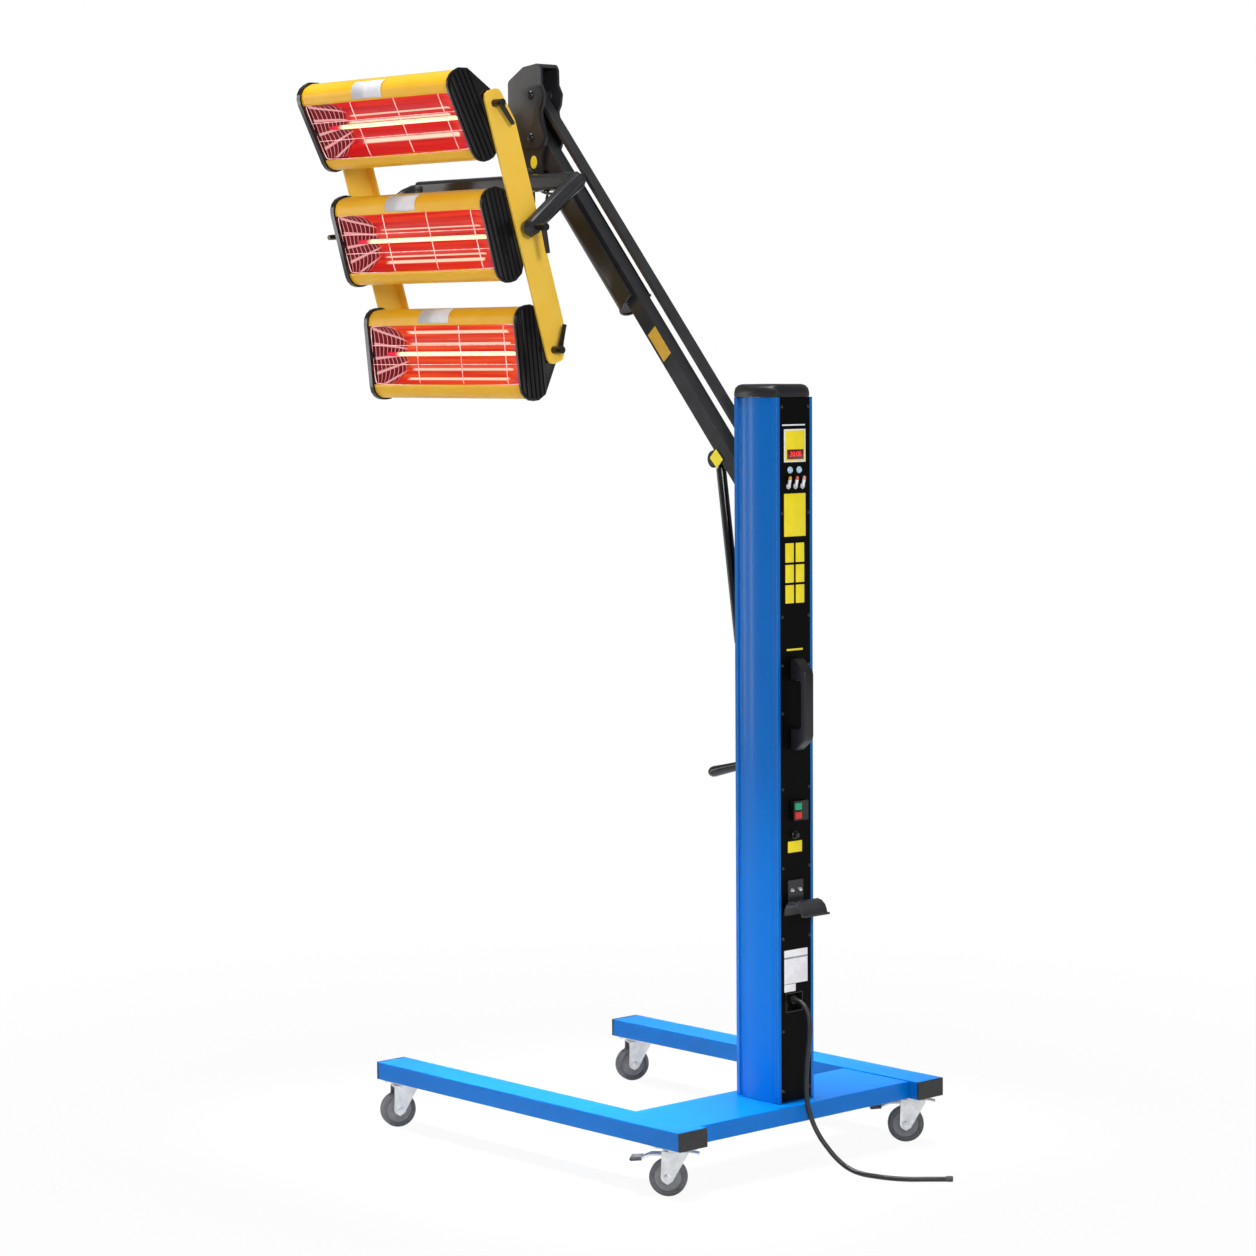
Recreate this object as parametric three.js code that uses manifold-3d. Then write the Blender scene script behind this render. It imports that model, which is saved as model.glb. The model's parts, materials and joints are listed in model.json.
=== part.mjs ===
import * as THREE from "three";
import { mergeVertices } from "three/addons/utils/BufferGeometryUtils.js";
import Module from "manifold-3d";

// Infrared curing lamp on a wheeled stand. Millimetres, Z up, floor at 0.
// X runs across the stand, minus Y towards the lamps, plus Y towards the control panel.

// General clearances and facets
const GAP = 0.3;
const PIN_CLEARANCE = 0.5;
const WELD = 0.0005;
const OVERSHOOT = 1;
const FACETS = 14;
const SMALL_FACETS = 8;
const WHEEL_FACETS = 20;
const NUT_FACETS = 6;
const CORNER_STEPS = 2;
const LAMP_STEPS = 4;
const DOME_STEPS = 3;
const BULGE_STEPS = 6;

// Stand legs and cross plate
const LEG = { centre: 360, width: 80, height: 40, wall: 3, bottom: 105, front: -776, rear: 223 };
const END_CAP = { flange: 5, plug: 20, clearance: 0.4 };
const CROSS = { rear: 198, drop: 2, wall: 3 };

// Casters
const WHEEL = { radius: 40, width: 26, tread: 17, hubRadius: 14, hubWidth: 29, dish: 4, rim: 29 };
const AXLE = { radius: 5, nutRadius: 9, nut: 4 };
const CASTER = { trail: 18, plateLength: 81, plateWidth: 64, plate: 3, plateShift: -4.5 };
const RACE = { radius: 25, height: 5, pin: 5, rivet: 9, rivetHeight: 3 };
const FORK = { cheek: 3, room: 2, front: 30, rear: 25, head: 3, foot: 14, waist: 12 };
const FORK_LUG = { length: 22, width: 18, drop: 4 };
const BRAKE = { hinge: 38, hingeHeight: 88, thick: 4, reach: 34, drop: 8 };
const BRAKE_TIP = { length: 26, width: 32, soft: 3 };
const CASTERS = [
  { name: "front_right", side: 1, axis: -728, yaw: 68, brake: false },
  { name: "front_left", side: -1, axis: -728, yaw: 68, brake: false },
  { name: "rear_right", side: 1, axis: 177, yaw: 40, brake: true },
  { name: "rear_left", side: -1, axis: 177, yaw: 46, brake: true },
];

// Column
const COLUMN = { front: 30, rear: 169, top: 1655, wall: 4, slot: 31, frontHalf: 44.5 };
const COLUMN_SIDE = { ridge: 49.5, swell: 4.3, widest: 56 };
const GROOVE = { front: 43, length: 10, depth: 3, slant: 1 };
const COLUMN_REAR = { half: 52.7, lip: 44.8, web: 3.7, inner: 46, flutes: 3, flute: 3, fluteDepth: 1 };
const COLUMN_CAP = { overhang: 2, skirt: 9, rise: 18, inset: 16, corner: 14 };
const PANEL = { thick: 4, base: 3 };

// Column controls and fittings
const HANDLE = { above: 109, height: 197, foot: 47, grip: 16, reach: 46, left: -10, right: 17, bevel: 26 };
const SWITCH = { left: -28, right: 15, bottom: 753, depth: 10, socket: 5.7 };
const BUTTON = { left: -6, right: 13, height: 15, apart: 4, proud: 3, travel: 2, margin: 4, clearance: 0.4 };
const HOOK = { left: -19, right: 26, bottom: 556, top: 625, plate: 3, saddle: 28, half: 38, lip: 8 };
const GLAND = { x: 12, height: 366, base: 14, tip: 8.5, length: 30, bore: 5.7 };
const OUTLET_ROOM = { left: 32, right: 19, below: 27, above: 15 };
const OUTLET = {
  left: GLAND.x - OUTLET_ROOM.left, right: GLAND.x + OUTLET_ROOM.right,
  bottom: GLAND.height - OUTLET_ROOM.below, top: GLAND.height + OUTLET_ROOM.above, depth: 26, wall: 2,
};
const CORD = { radius: 5.35, sides: 8, steps: 42, start: 5, sleeve: 6.3, sleeveLength: 14 };
const CORD_POINTS = [
  [12, 184, 366], [12.5, 199, 362], [12.8, 212, 351], [12.6, 220, 334], [12, 222, 312], [11.5, 220, 285],
  [11, 215, 257], [10, 210, 222], [8.5, 207, 190], [7, 207, 158], [3, 213, 122], [-4, 230, 82],
  [-12, 251, 53], [-20, 275, 29], [-28, 302, 13], [-36, 330, 6.4], [-42, 362, 5.9], [-52, 394, 5.9],
  [-70, 425, 5.9], [-103, 457, 5.9], [-141, 493, 5.9],
];

// Arm pivots and hanger
const ARM = { pivotY: 80, pivotZ: 1406.4, length: 1103.6, angle: 49, spacing: 95.4 };
const PIN = { lower: 8, upper: 6 };
const HANGER = { inner: 21, cheek: 6, front: 34, rear: 66, below: 26, above: 24, web: 6, pad: 40 };
const BEAM = { width: 35, depth: 38, wall: 3, tail: 16, nose: 20 };
const LINK = { width: 28, depth: 10.7, eye: 12 };
const COVER = { fromHead: 150, length: 340, half: 30, top: 14, spring: -23, wall: 2.5, end: 3 };

// Gas spring
const GAS = { along: 177.6, below: 31.1, body: 400, radius: 11, rod: 5, footY: 42, footZ: 826, engaged: 62 };
const GAS_EYE = { radius: 10, half: 7, pin: 4 };
const GAS_EAR = { inner: 7.5, thick: 4, tip: 14, root: 30 };
const LOCK = { x: 20, rootY: 74, rootZ: 872, tipY: -67, tipZ: 838, rod: 5, grip: 9, gripShare: 0.72 };

// Arm head
const HEAD = { half: 28, inner: 22, boss: 14, bossGap: 0.5, rim: 8, floor: 16, corner: 10 };
const HEAD_NOSE = { low: [-83, 64], high: [-83, 130], brow: [-30, 160] };
const HEAD_REAR = [
  [24, 166], [32, 152], [33, 118], [45, 97], [41, 72], [32, 58], [40, 26], [51, 0], [40, -24], [32, -44],
];
const HEAD_FOOT = { rear: [32, -110], front: [-46, -118], throat: [-62, 20] };
const HEAD_PAD = { proud: 4, front: -50, round: 30, inset: 6, first: 2, last: 8 };
const FORK_PIVOT = { back: -16, drop: 91.3, boss: 25, face: 52.7, stud: 8, washer: 15, washerThick: 5 };

// Lamp fork
const RUN = { x: 65, width: 24, height: 40, drop: 15, hub: 27, corner: 9 };
const NEAR_LEG = { root: 21, end: 19, ball: 22, offset: 194.5 };
const FAR_LEG = { radius: 15, bend: 42, start: 26, sides: 10, steps: 10 };
const ARRAY_PIVOT = { x: 200, drop: 212.5 };

// Lamp bars
const BAR = { tilt: 17.2, spacing: 281.6, thick: 5, front: 23, rear: 47, end: 30, narrow: 23, chamfer: 80 };
const BAR_FLANGE = { depth: 20, inset: 18 };
const BAR_GAP = 1;

// Lamp cassettes
const LAMP = { nearY: 162, window: 525, front: 93, half: 102.5, corner: 30, wall: 2, windowHalf: 67.8 };
const LAMP_BACK = { shoulder: 48, flank: 29, flankHalf: 92, tail: 8, tailHalf: 24 };
const CAP = { lip: 4.5, near: 5.5, far: 12.5, rib: 3.5, ribWidth: 8.5, ribPitch: 12.5, ribs: 6, boss: 26 };
const STUD = { radius: 5, nut: 9, nutThick: 6, clearance: 0.4, proud: 8 };
const LAMPS = [
  { name: "top", place: 1, tilt: 26.8 },
  { name: "middle", place: 0, tilt: 16.0 },
  { name: "bottom", place: -1, tilt: 6.1 },
];
const REFLECTOR = { rim: 83, depth: 36, ridge: 12, half: 66, sheet: 1.6, slope: 80, shape: 0.7, steps: 12 };
const TUBE = { radius: 5, x: 68, inset: 14, sides: 8 };
const GRILLE = { wire: 2.2, x: 87, crossBehind: 1, longWires: 2, clearance: 0.6 };
const GRILLE_CROSS_SHARES = [0.31, 0.61, 0.91];

// Clamp levers
const LEVER = { hub: 8.5, hubLength: 30, root: 6.5, tip: 5, length: 58, set: 20, bore: 10 };
const LEVER_TURNS = { top: [-0.63, -0.77], bottom: [-0.26, 0.97], tilt: [-0.21, -0.98] };

const wasm = await Module();
wasm.setup();

// Solid operations
const toSolid = (geometry) => {
  const bare = geometry.index ? geometry.toNonIndexed() : geometry.clone();
  bare.deleteAttribute("normal");
  bare.deleteAttribute("uv");
  const welded = mergeVertices(bare, WELD);
  const found = welded.index.array;
  const corners = [];
  for (let i = 0; i < found.length; i += 3) {
    const [a, b, c] = [found[i], found[i + 1], found[i + 2]];
    if (a !== b && b !== c && c !== a) corners.push(a, b, c);
  }
  const vertProperties = Float32Array.from(welded.attributes.position.array);
  const triVerts = Uint32Array.from(corners);
  return new wasm.Manifold(new wasm.Mesh({ numProp: 3, vertProperties, triVerts }));
};
const toGeometry = (solid) => {
  const mesh = solid.getMesh();
  const geometry = new THREE.BufferGeometry();
  const places = Float32Array.from(mesh.vertProperties);
  geometry.setAttribute("position", new THREE.BufferAttribute(places, 3));
  geometry.setIndex([...mesh.triVerts]);
  return geometry;
};
const join = (first, ...others) =>
  toGeometry(others.reduce((sum, other) => sum.add(toSolid(other)), toSolid(first)));
const cut = (first, ...others) =>
  toGeometry(others.reduce((rest, other) => rest.subtract(toSolid(other)), toSolid(first)));
const common = (first, second) => toGeometry(toSolid(first).intersect(toSolid(second)));

// Basic shapes
const block = (x0, x1, y0, y1, z0, z1) =>
  new THREE.BoxGeometry(x1 - x0, y1 - y0, z1 - z0).translate((x0 + x1) / 2, (y0 + y1) / 2, (z0 + z1) / 2);
const BASES = {
  x: new THREE.Matrix4().set(0, 0, 1, 0, 1, 0, 0, 0, 0, 1, 0, 0, 0, 0, 0, 1),
  y: new THREE.Matrix4().set(1, 0, 0, 0, 0, 0, -1, 0, 0, 1, 0, 0, 0, 0, 0, 1),
  z: new THREE.Matrix4(),
};
// The outline lies across the axis: (Y, Z) for x, (X, Z) for y and (X, Y) for z.
const prism = (axis, outline, from, to) => {
  const apart = ([u, v], i) => {
    const [lastU, lastV] = outline[(i + outline.length - 1) % outline.length];
    return Math.hypot(u - lastU, v - lastV) > 2 * WELD;
  };
  const shape = new THREE.Shape(outline.filter(apart).map(([u, v]) => new THREE.Vector2(u, v)));
  const body = new THREE.ExtrudeGeometry(shape, { depth: to - from, bevelEnabled: false });
  body.applyMatrix4(BASES[axis]);
  const move = { x: [from, 0, 0], y: [0, to, 0], z: [0, 0, from] }[axis];
  return body.translate(...move);
};
const circle = (radius, u, v, sides = FACETS) => {
  const turn = (2 * Math.PI) / sides;
  const points = [];
  for (let i = 0; i < sides; i += 1) {
    const angle = turn * (i + 0.5);
    points.push([u + radius * Math.cos(angle), v + radius * Math.sin(angle)]);
  }
  return points;
};
const rod = (axis, radius, from, to, u, v, sides = FACETS) =>
  prism(axis, circle(radius, u, v, sides), from, to);
// Each corner is [u, v, radius]; a corner with no radius stays sharp.
const rounded = (corners, steps = CORNER_STEPS) => {
  const points = [];
  corners.forEach(([u, v, radius = 0], i) => {
    const before = corners[(i + corners.length - 1) % corners.length];
    const after = corners[(i + 1) % corners.length];
    const here = new THREE.Vector2(u, v);
    if (radius === 0) {
      points.push([u, v]);
      return;
    }
    const back = new THREE.Vector2(before[0], before[1]).sub(here).normalize();
    const ahead = new THREE.Vector2(after[0], after[1]).sub(here).normalize();
    const half = Math.acos(back.dot(ahead)) / 2;
    const reach = radius / Math.tan(half);
    const centre = back.clone().add(ahead).normalize().multiplyScalar(radius / Math.sin(half)).add(here);
    const start = back.multiplyScalar(reach).add(here).sub(centre);
    const end = ahead.multiplyScalar(reach).add(here).sub(centre);
    const sweep = Math.atan2(start.cross(end), start.dot(end));
    for (let k = 0; k <= steps; k += 1) {
      const spoke = start.clone().rotateAround(new THREE.Vector2(0, 0), (sweep * k) / steps).add(centre);
      points.push([spoke.x, spoke.y]);
    }
  });
  return points;
};
const cone = (start, end, startRadius, endRadius, sides = FACETS) => {
  const from = new THREE.Vector3(...start);
  const to = new THREE.Vector3(...end);
  const body = new THREE.CylinderGeometry(endRadius, startRadius, from.distanceTo(to), sides);
  const along = to.clone().sub(from).normalize();
  body.applyQuaternion(new THREE.Quaternion().setFromUnitVectors(new THREE.Vector3(0, 1, 0), along));
  const middle = from.add(to).multiplyScalar(1 / 2);
  return body.translate(middle.x, middle.y, middle.z);
};
const ball = (centre, radius, sides = FACETS) =>
  new THREE.SphereGeometry(radius, sides, sides / 2).translate(...centre);
const sweepTube = (points, radius, sides, steps) => {
  const places = points.map((point) => new THREE.Vector3(...point));
  const path = new THREE.CatmullRomCurve3(places, false, "centripetal");
  const shape = new THREE.Shape(circle(radius, 0, 0, sides).map(([u, v]) => new THREE.Vector2(u, v)));
  return new THREE.ExtrudeGeometry(shape, { steps, extrudePath: path, bevelEnabled: false });
};
const turned = (profile, sides) => {
  const closed = [...profile, profile[0]].map(([r, h]) => new THREE.Vector2(r, h));
  return new THREE.LatheGeometry(closed, sides);
};
const radians = (degrees) => (degrees * Math.PI) / 180;

const pieces = [];
const add = (name, material, geometry) => pieces.push({ name, material, geometry });

// Materials by finish
const BLUE = { color: 0x1766d8, roughness: 0.45, metalness: 0 };
const BLACK = { color: 0x2a2b2d, roughness: 0.5, metalness: 0 };
const YELLOW = { color: 0xf2b632, roughness: 0.4, metalness: 0 };
const ZINC = { color: 0xc9ccd0, roughness: 0.35, metalness: 1 };
const RUBBER = { color: 0x6f7276, roughness: 0.8, metalness: 0 };
const CABLE = { color: 0x2b2f31, roughness: 0.6, metalness: 0 };
const STEEL = { color: 0xe8e4e0, roughness: 0.3, metalness: 1 };
const HOT = { color: 0xe8401a, roughness: 0.3, metalness: 0 };
const GREEN = { color: 0x2fa36a, roughness: 0.4, metalness: 0 };
const RED = { color: 0xc8352b, roughness: 0.4, metalness: 0 };

// Stand
const legTop = LEG.bottom + LEG.height;
const sides = [["right", 1], ["left", -1]];
for (const [name, side] of sides) {
  const x0 = side * LEG.centre - LEG.width / 2;
  const x1 = x0 + LEG.width;
  const tube = cut(
    block(x0, x1, LEG.front, LEG.rear, LEG.bottom, legTop),
    block(x0 + LEG.wall, x1 - LEG.wall, LEG.front - OVERSHOOT, LEG.rear + OVERSHOOT, LEG.bottom + LEG.wall,
      legTop - LEG.wall),
  );
  add(`leg_${name}`, BLUE, tube);
  const inset = LEG.wall + END_CAP.clearance;
  for (const [end, edge, out] of [["front", LEG.front, -1], ["rear", LEG.rear, 1]]) {
    const face = edge + out * GAP;
    const outer = face + out * END_CAP.flange;
    const inner = edge - out * END_CAP.plug;
    const span = (a, b) => [Math.min(a, b), Math.max(a, b)];
    const cap = join(
      block(x0, x1, ...span(face, outer), LEG.bottom, legTop),
      block(x0 + inset, x1 - inset, ...span(inner, face), LEG.bottom + inset, legTop - inset),
    );
    add(`leg_cap_${end}_${name}`, BLACK, cap);
  }
}
const crossHalf = LEG.centre - LEG.width / 2 - GAP;
const crossTop = legTop - CROSS.drop;
add("cross_plate", BLUE, cut(
  block(-crossHalf, crossHalf, 0, CROSS.rear, LEG.bottom, crossTop),
  block(-crossHalf - OVERSHOOT, crossHalf + OVERSHOOT, CROSS.wall, CROSS.rear - CROSS.wall,
    LEG.bottom + CROSS.wall, crossTop - CROSS.wall),
));

// Casters, built about the swivel axis
const plateTop = LEG.bottom - GAP;
const plateBottom = plateTop - CASTER.plate;
const raceBottom = plateBottom - RACE.height;
const forkTop = raceBottom - GAP;
const forkHeadBottom = forkTop - FORK.head;
const wheelHalf = WHEEL.width / 2;
const cheekInner = WHEEL.hubWidth / 2 + FORK.room / 2;
const cheekOuter = cheekInner + FORK.cheek;
const wheelShape = (() => {
  const flat = 1 / Math.cos(Math.PI / WHEEL_FACETS);
  const bore = AXLE.radius + PIN_CLEARANCE;
  const hubHalf = WHEEL.hubWidth / 2;
  const profile = [
    [bore, -hubHalf], [WHEEL.hubRadius, -hubHalf], [WHEEL.rim, WHEEL.dish - wheelHalf],
    [WHEEL.rim, -wheelHalf],
    [WHEEL.radius - WHEEL.dish, -wheelHalf], [WHEEL.radius * flat, -WHEEL.tread / 2],
    [WHEEL.radius * flat, WHEEL.tread / 2], [WHEEL.radius - WHEEL.dish, wheelHalf],
    [WHEEL.rim, wheelHalf], [WHEEL.rim, wheelHalf - WHEEL.dish], [WHEEL.hubRadius, hubHalf], [bore, hubHalf],
  ];
  const wheel = turned(profile, WHEEL_FACETS).rotateY(Math.PI / WHEEL_FACETS).rotateZ(-Math.PI / 2);
  return wheel.translate(0, -CASTER.trail, WHEEL.radius);
})();
const axleNut = (from, to) => rod("x", AXLE.nutRadius, from, to, -CASTER.trail, WHEEL.radius, NUT_FACETS);
const forkShape = (withLug) => {
  const cheek = rounded([
    [-FORK.front, forkTop], [-CASTER.trail - FORK.foot, WHEEL.radius, FORK.waist],
    [-CASTER.trail, WHEEL.radius - 2 * FORK.foot, FORK.waist],
    [-CASTER.trail + FORK.foot, WHEEL.radius, FORK.waist],
    [FORK.rear, forkHeadBottom - FORK.head], [FORK.rear, forkTop],
  ]);
  let fork = join(
    prism("x", cheek, -cheekOuter, -cheekInner),
    prism("x", cheek, cheekInner, cheekOuter),
    block(-cheekOuter, cheekOuter, -FORK.front, FORK.rear, forkHeadBottom, forkTop),
    rod("z", RACE.radius, forkHeadBottom, forkTop, 0, 0),
    rod("x", AXLE.radius, -cheekOuter, cheekOuter, -CASTER.trail, WHEEL.radius),
    axleNut(-cheekOuter - AXLE.nut, -cheekOuter),
    axleNut(cheekOuter, cheekOuter + AXLE.nut),
  );
  if (withLug) {
    const lugEnd = FORK.rear + FORK_LUG.length;
    const lug = [
      [0, forkTop], [FORK.rear, forkHeadBottom], [lugEnd, forkHeadBottom - FORK_LUG.drop],
      [lugEnd, forkTop - FORK_LUG.drop], [FORK.rear, forkTop],
    ];
    fork = join(fork, prism("x", lug, -FORK_LUG.width / 2, FORK_LUG.width / 2));
  }
  const pinBore = RACE.pin + PIN_CLEARANCE;
  const pinHole = rod("z", pinBore, forkHeadBottom - RACE.height, forkTop + OVERSHOOT, 0, 0);
  return cut(fork, pinHole);
};
const plateShape = () => join(
  block(-CASTER.plateWidth / 2, CASTER.plateWidth / 2, CASTER.plateShift - CASTER.plateLength / 2,
    CASTER.plateShift + CASTER.plateLength / 2, plateBottom, plateTop),
  rod("z", RACE.radius, raceBottom, plateBottom, 0, 0),
  rod("z", RACE.pin, forkHeadBottom - GAP, raceBottom, 0, 0),
  rod("z", RACE.rivet, forkHeadBottom - GAP - RACE.rivetHeight, forkHeadBottom - GAP, 0, 0),
);
const brakeShape = () => {
  const half = cheekInner - PIN_CLEARANCE;
  const top = BRAKE.hingeHeight + BRAKE.thick / 2;
  const low = BRAKE.hingeHeight - BRAKE.thick / 2;
  const lever = [
    [-BRAKE.hinge + BRAKE.thick * 2, low], [-BRAKE.hinge + BRAKE.thick * 2, top],
    [-BRAKE.hinge - BRAKE.reach / 2, top],
    [-BRAKE.hinge - BRAKE.reach, top - BRAKE.drop], [-BRAKE.hinge - BRAKE.reach, low - BRAKE.drop],
    [-BRAKE.hinge - BRAKE.reach / 2, low],
  ];
  const tipEnd = -BRAKE.hinge - BRAKE.reach;
  const tip = [
    [tipEnd, top - BRAKE.drop + BRAKE.thick / 2],
    [tipEnd - BRAKE_TIP.length, top - BRAKE.drop, BRAKE_TIP.soft],
    [tipEnd - BRAKE_TIP.length, low - BRAKE.drop - BRAKE.thick, BRAKE_TIP.soft],
    [tipEnd, low - BRAKE.drop - BRAKE.thick / 2],
  ];
  return join(
    prism("x", lever, -half, half),
    prism("x", rounded(tip), -BRAKE_TIP.width / 2, BRAKE_TIP.width / 2),
  );
};
for (const { name, side, axis, yaw, brake } of CASTERS) {
  const place = (geometry, turn) => geometry.rotateZ(radians(turn)).translate(side * LEG.centre, axis, 0);
  add(`caster_plate_${name}`, ZINC, place(plateShape(), 0));
  add(`caster_fork_${name}`, ZINC, place(forkShape(brake), yaw));
  add(`caster_wheel_${name}`, RUBBER, place(wheelShape.clone(), yaw));
  if (brake) add(`caster_brake_${name}`, ZINC, place(brakeShape(), yaw));
}

// Column section, right half from the front slot to the rear
const grooveEnd = GROOVE.front + GROOVE.length;
const grooveX = COLUMN.frontHalf;
const bulgeFront = grooveEnd + GROOVE.length;
const fluteStart = COLUMN.rear - COLUMN.wall - COLUMN_REAR.flutes * 2 * COLUMN_REAR.flute;
const sidePoints = [
  [COLUMN.frontHalf, COLUMN.front],
  [COLUMN.frontHalf + GROOVE.depth, GROOVE.front - GROOVE.slant],
  [grooveX, GROOVE.front], [grooveX, grooveEnd],
  [COLUMN_SIDE.ridge, grooveEnd + GROOVE.slant], [COLUMN_SIDE.ridge, bulgeFront - GROOVE.depth],
];
for (let i = 0; i <= BULGE_STEPS; i += 1) {
  const share = i / BULGE_STEPS;
  const y = bulgeFront + (fluteStart - bulgeFront) * share;
  const base = COLUMN_SIDE.ridge + (COLUMN_REAR.half - COLUMN_SIDE.ridge) * share;
  sidePoints.push([base + COLUMN_SIDE.swell * Math.sin(Math.PI * share), y]);
}
for (let i = 0; i < COLUMN_REAR.flutes; i += 1) {
  const y = fluteStart + (2 * i + 1) * COLUMN_REAR.flute;
  sidePoints.push([COLUMN_REAR.half, y]);
  sidePoints.push([COLUMN_REAR.half - COLUMN_REAR.fluteDepth, y + COLUMN_REAR.flute / 2]);
  sidePoints.push([COLUMN_REAR.half, y + COLUMN_REAR.flute]);
}
sidePoints.push([COLUMN_REAR.half, COLUMN.rear], [COLUMN_REAR.lip, COLUMN.rear]);
const webRear = COLUMN.rear - PANEL.thick - GAP;
const webFront = webRear - COLUMN_REAR.web;
sidePoints.push([COLUMN_REAR.lip, webRear]);
const innerPoints = [
  [COLUMN.slot, COLUMN.front], [COLUMN.slot, COLUMN.front + COLUMN.wall],
  [grooveX - COLUMN.wall, COLUMN.front + COLUMN.wall], [grooveX - COLUMN.wall, bulgeFront - COLUMN.wall],
  [COLUMN_REAR.inner, bulgeFront], [COLUMN_REAR.inner, webFront],
];
const mirror = (points) => points.map(([x, y]) => [-x, y]).reverse();
const columnLoop = [
  ...sidePoints, ...mirror(sidePoints),
  ...innerPoints.map(([x, y]) => [-x, y]), ...[...innerPoints].reverse(),
];
const columnBottom = crossTop + GAP;
const outletMargin = GAP * 2;
const outletHole = (grow) => block(OUTLET.left - grow, OUTLET.right + grow, webFront - OVERSHOOT,
  COLUMN.rear + OVERSHOOT, OUTLET.bottom - grow, OUTLET.top + grow);
const footEar = (x0, x1, front) =>
  block(x0, x1, front, webFront + OVERSHOOT, GAS.footZ - GAS_EAR.tip, GAS.footZ + GAS_EAR.tip);
const footEarInner = GAS_EYE.half + PIN_CLEARANCE;
const footEarOuter = footEarInner + GAS_EAR.thick;
const gasEars = join(
  footEar(-footEarOuter, -footEarInner, GAS.footY - GAS_EAR.tip),
  footEar(footEarInner, footEarOuter, GAS.footY - GAS_EAR.tip),
  footEar(-footEarOuter, footEarOuter, webFront - COLUMN.wall),
);
add("column", BLUE, cut(
  join(prism("z", columnLoop, columnBottom, COLUMN.top), gasEars),
  outletHole(outletMargin),
));
add("column_panel", BLACK, cut(
  block(GAP - COLUMN_REAR.lip, COLUMN_REAR.lip - GAP, COLUMN.rear - PANEL.thick, COLUMN.rear,
    columnBottom + PANEL.base, COLUMN.top),
  outletHole(outletMargin),
));

// Column cap, a skirt with a domed top
const capHalf = COLUMN_SIDE.widest + COLUMN_CAP.overhang;
const capFront = COLUMN.front - COLUMN_CAP.overhang;
const capRear = COLUMN.rear + COLUMN_CAP.overhang;
const capBottom = COLUMN.top + GAP;
const capOutline = (inset) => rounded([
  [-capHalf + inset, capFront + inset, COLUMN_CAP.corner],
  [capHalf - inset, capFront + inset, COLUMN_CAP.corner],
  [capHalf - inset, capRear - inset, COLUMN_CAP.corner],
  [-capHalf + inset, capRear - inset, COLUMN_CAP.corner],
]);
const domeShape = new THREE.Shape(capOutline(COLUMN_CAP.inset).map(([u, v]) => new THREE.Vector2(u, v)));
const dome = new THREE.ExtrudeGeometry(domeShape, {
  depth: COLUMN_CAP.skirt, bevelSize: COLUMN_CAP.inset, bevelThickness: COLUMN_CAP.rise,
  bevelSegments: DOME_STEPS,
}).translate(0, 0, capBottom);
add("column_cap", BLACK, cut(dome, block(-2 * capHalf, 2 * capHalf, -2 * capRear, 2 * capRear,
  capBottom - 2 * COLUMN_CAP.rise, capBottom)));

// Column fittings
const panelFace = COLUMN.rear + GAP;
const switchFace = panelFace + SWITCH.depth;
const socketFloor = switchFace - SWITCH.socket;
const buttonBack = socketFloor + BUTTON.travel + GAP;
const stopBottom = SWITCH.bottom + BUTTON.margin;
const startBottom = stopBottom + BUTTON.height + BUTTON.apart;
const switchTop = startBottom + BUTTON.height + BUTTON.margin;
const buttonBlock = (bottom, grow, back, face) => block(BUTTON.left - grow, BUTTON.right + grow / 2,
  back, face, bottom - grow, bottom + BUTTON.height + grow);
add("switch_housing", BLACK, cut(
  block(SWITCH.left, SWITCH.right, panelFace, switchFace, SWITCH.bottom, switchTop),
  buttonBlock(stopBottom, BUTTON.clearance, socketFloor, switchFace + OVERSHOOT),
  buttonBlock(startBottom, BUTTON.clearance, socketFloor, switchFace + OVERSHOOT),
));
add("start_button", GREEN, buttonBlock(startBottom, 0, buttonBack, switchFace + BUTTON.proud));
add("stop_button", RED, buttonBlock(stopBottom, 0, buttonBack, switchFace + BUTTON.proud));
const handleBottom = switchTop + HANDLE.above;
const handleTop = handleBottom + HANDLE.height;
const gripOuter = COLUMN.rear + HANDLE.reach;
const gripInner = gripOuter - HANDLE.grip;
add("grab_handle", BLACK, prism("x", rounded([
  [panelFace, handleTop], [panelFace + HANDLE.grip, handleTop, HANDLE.grip / 2],
  [gripOuter, handleTop - HANDLE.bevel, HANDLE.grip], [gripOuter, handleBottom + HANDLE.bevel, HANDLE.grip],
  [panelFace + HANDLE.grip, handleBottom, HANDLE.grip / 2], [panelFace, handleBottom],
  [panelFace, handleBottom + HANDLE.foot], [gripInner, handleBottom + HANDLE.foot, HANDLE.grip / 2],
  [gripInner, handleTop - HANDLE.foot, HANDLE.grip / 2], [panelFace, handleTop - HANDLE.foot],
]), HANDLE.left, HANDLE.right));

// Cable saddle under the panel
const saddleY = panelFace + HOOK.saddle;
const saddleArc = (radius) => circle(radius, saddleY, HOOK.bottom).filter(([, z]) => z > HOOK.bottom);
const saddleTop = saddleArc(HOOK.saddle);
const saddleUnder = saddleArc(HOOK.saddle - HOOK.plate);
const saddleSection = [
  [saddleY + HOOK.saddle + HOOK.lip, HOOK.bottom - HOOK.plate],
  [saddleY + HOOK.saddle + HOOK.lip, HOOK.bottom + HOOK.plate / 2],
  [saddleY + HOOK.saddle, HOOK.bottom + HOOK.plate / 2],
  ...saddleTop,
  [panelFace, HOOK.bottom], [panelFace, HOOK.bottom - HOOK.plate * 2],
  [panelFace + HOOK.plate, HOOK.bottom - HOOK.plate * 2],
  ...[...saddleUnder].reverse(),
  [saddleY + HOOK.saddle - HOOK.plate, HOOK.bottom - HOOK.plate],
];
add("cable_hook", BLACK, join(
  prism("x", saddleSection, -HOOK.half, HOOK.half),
  block(HOOK.left, HOOK.right, panelFace, panelFace + HOOK.plate, HOOK.bottom, HOOK.top),
));

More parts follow.
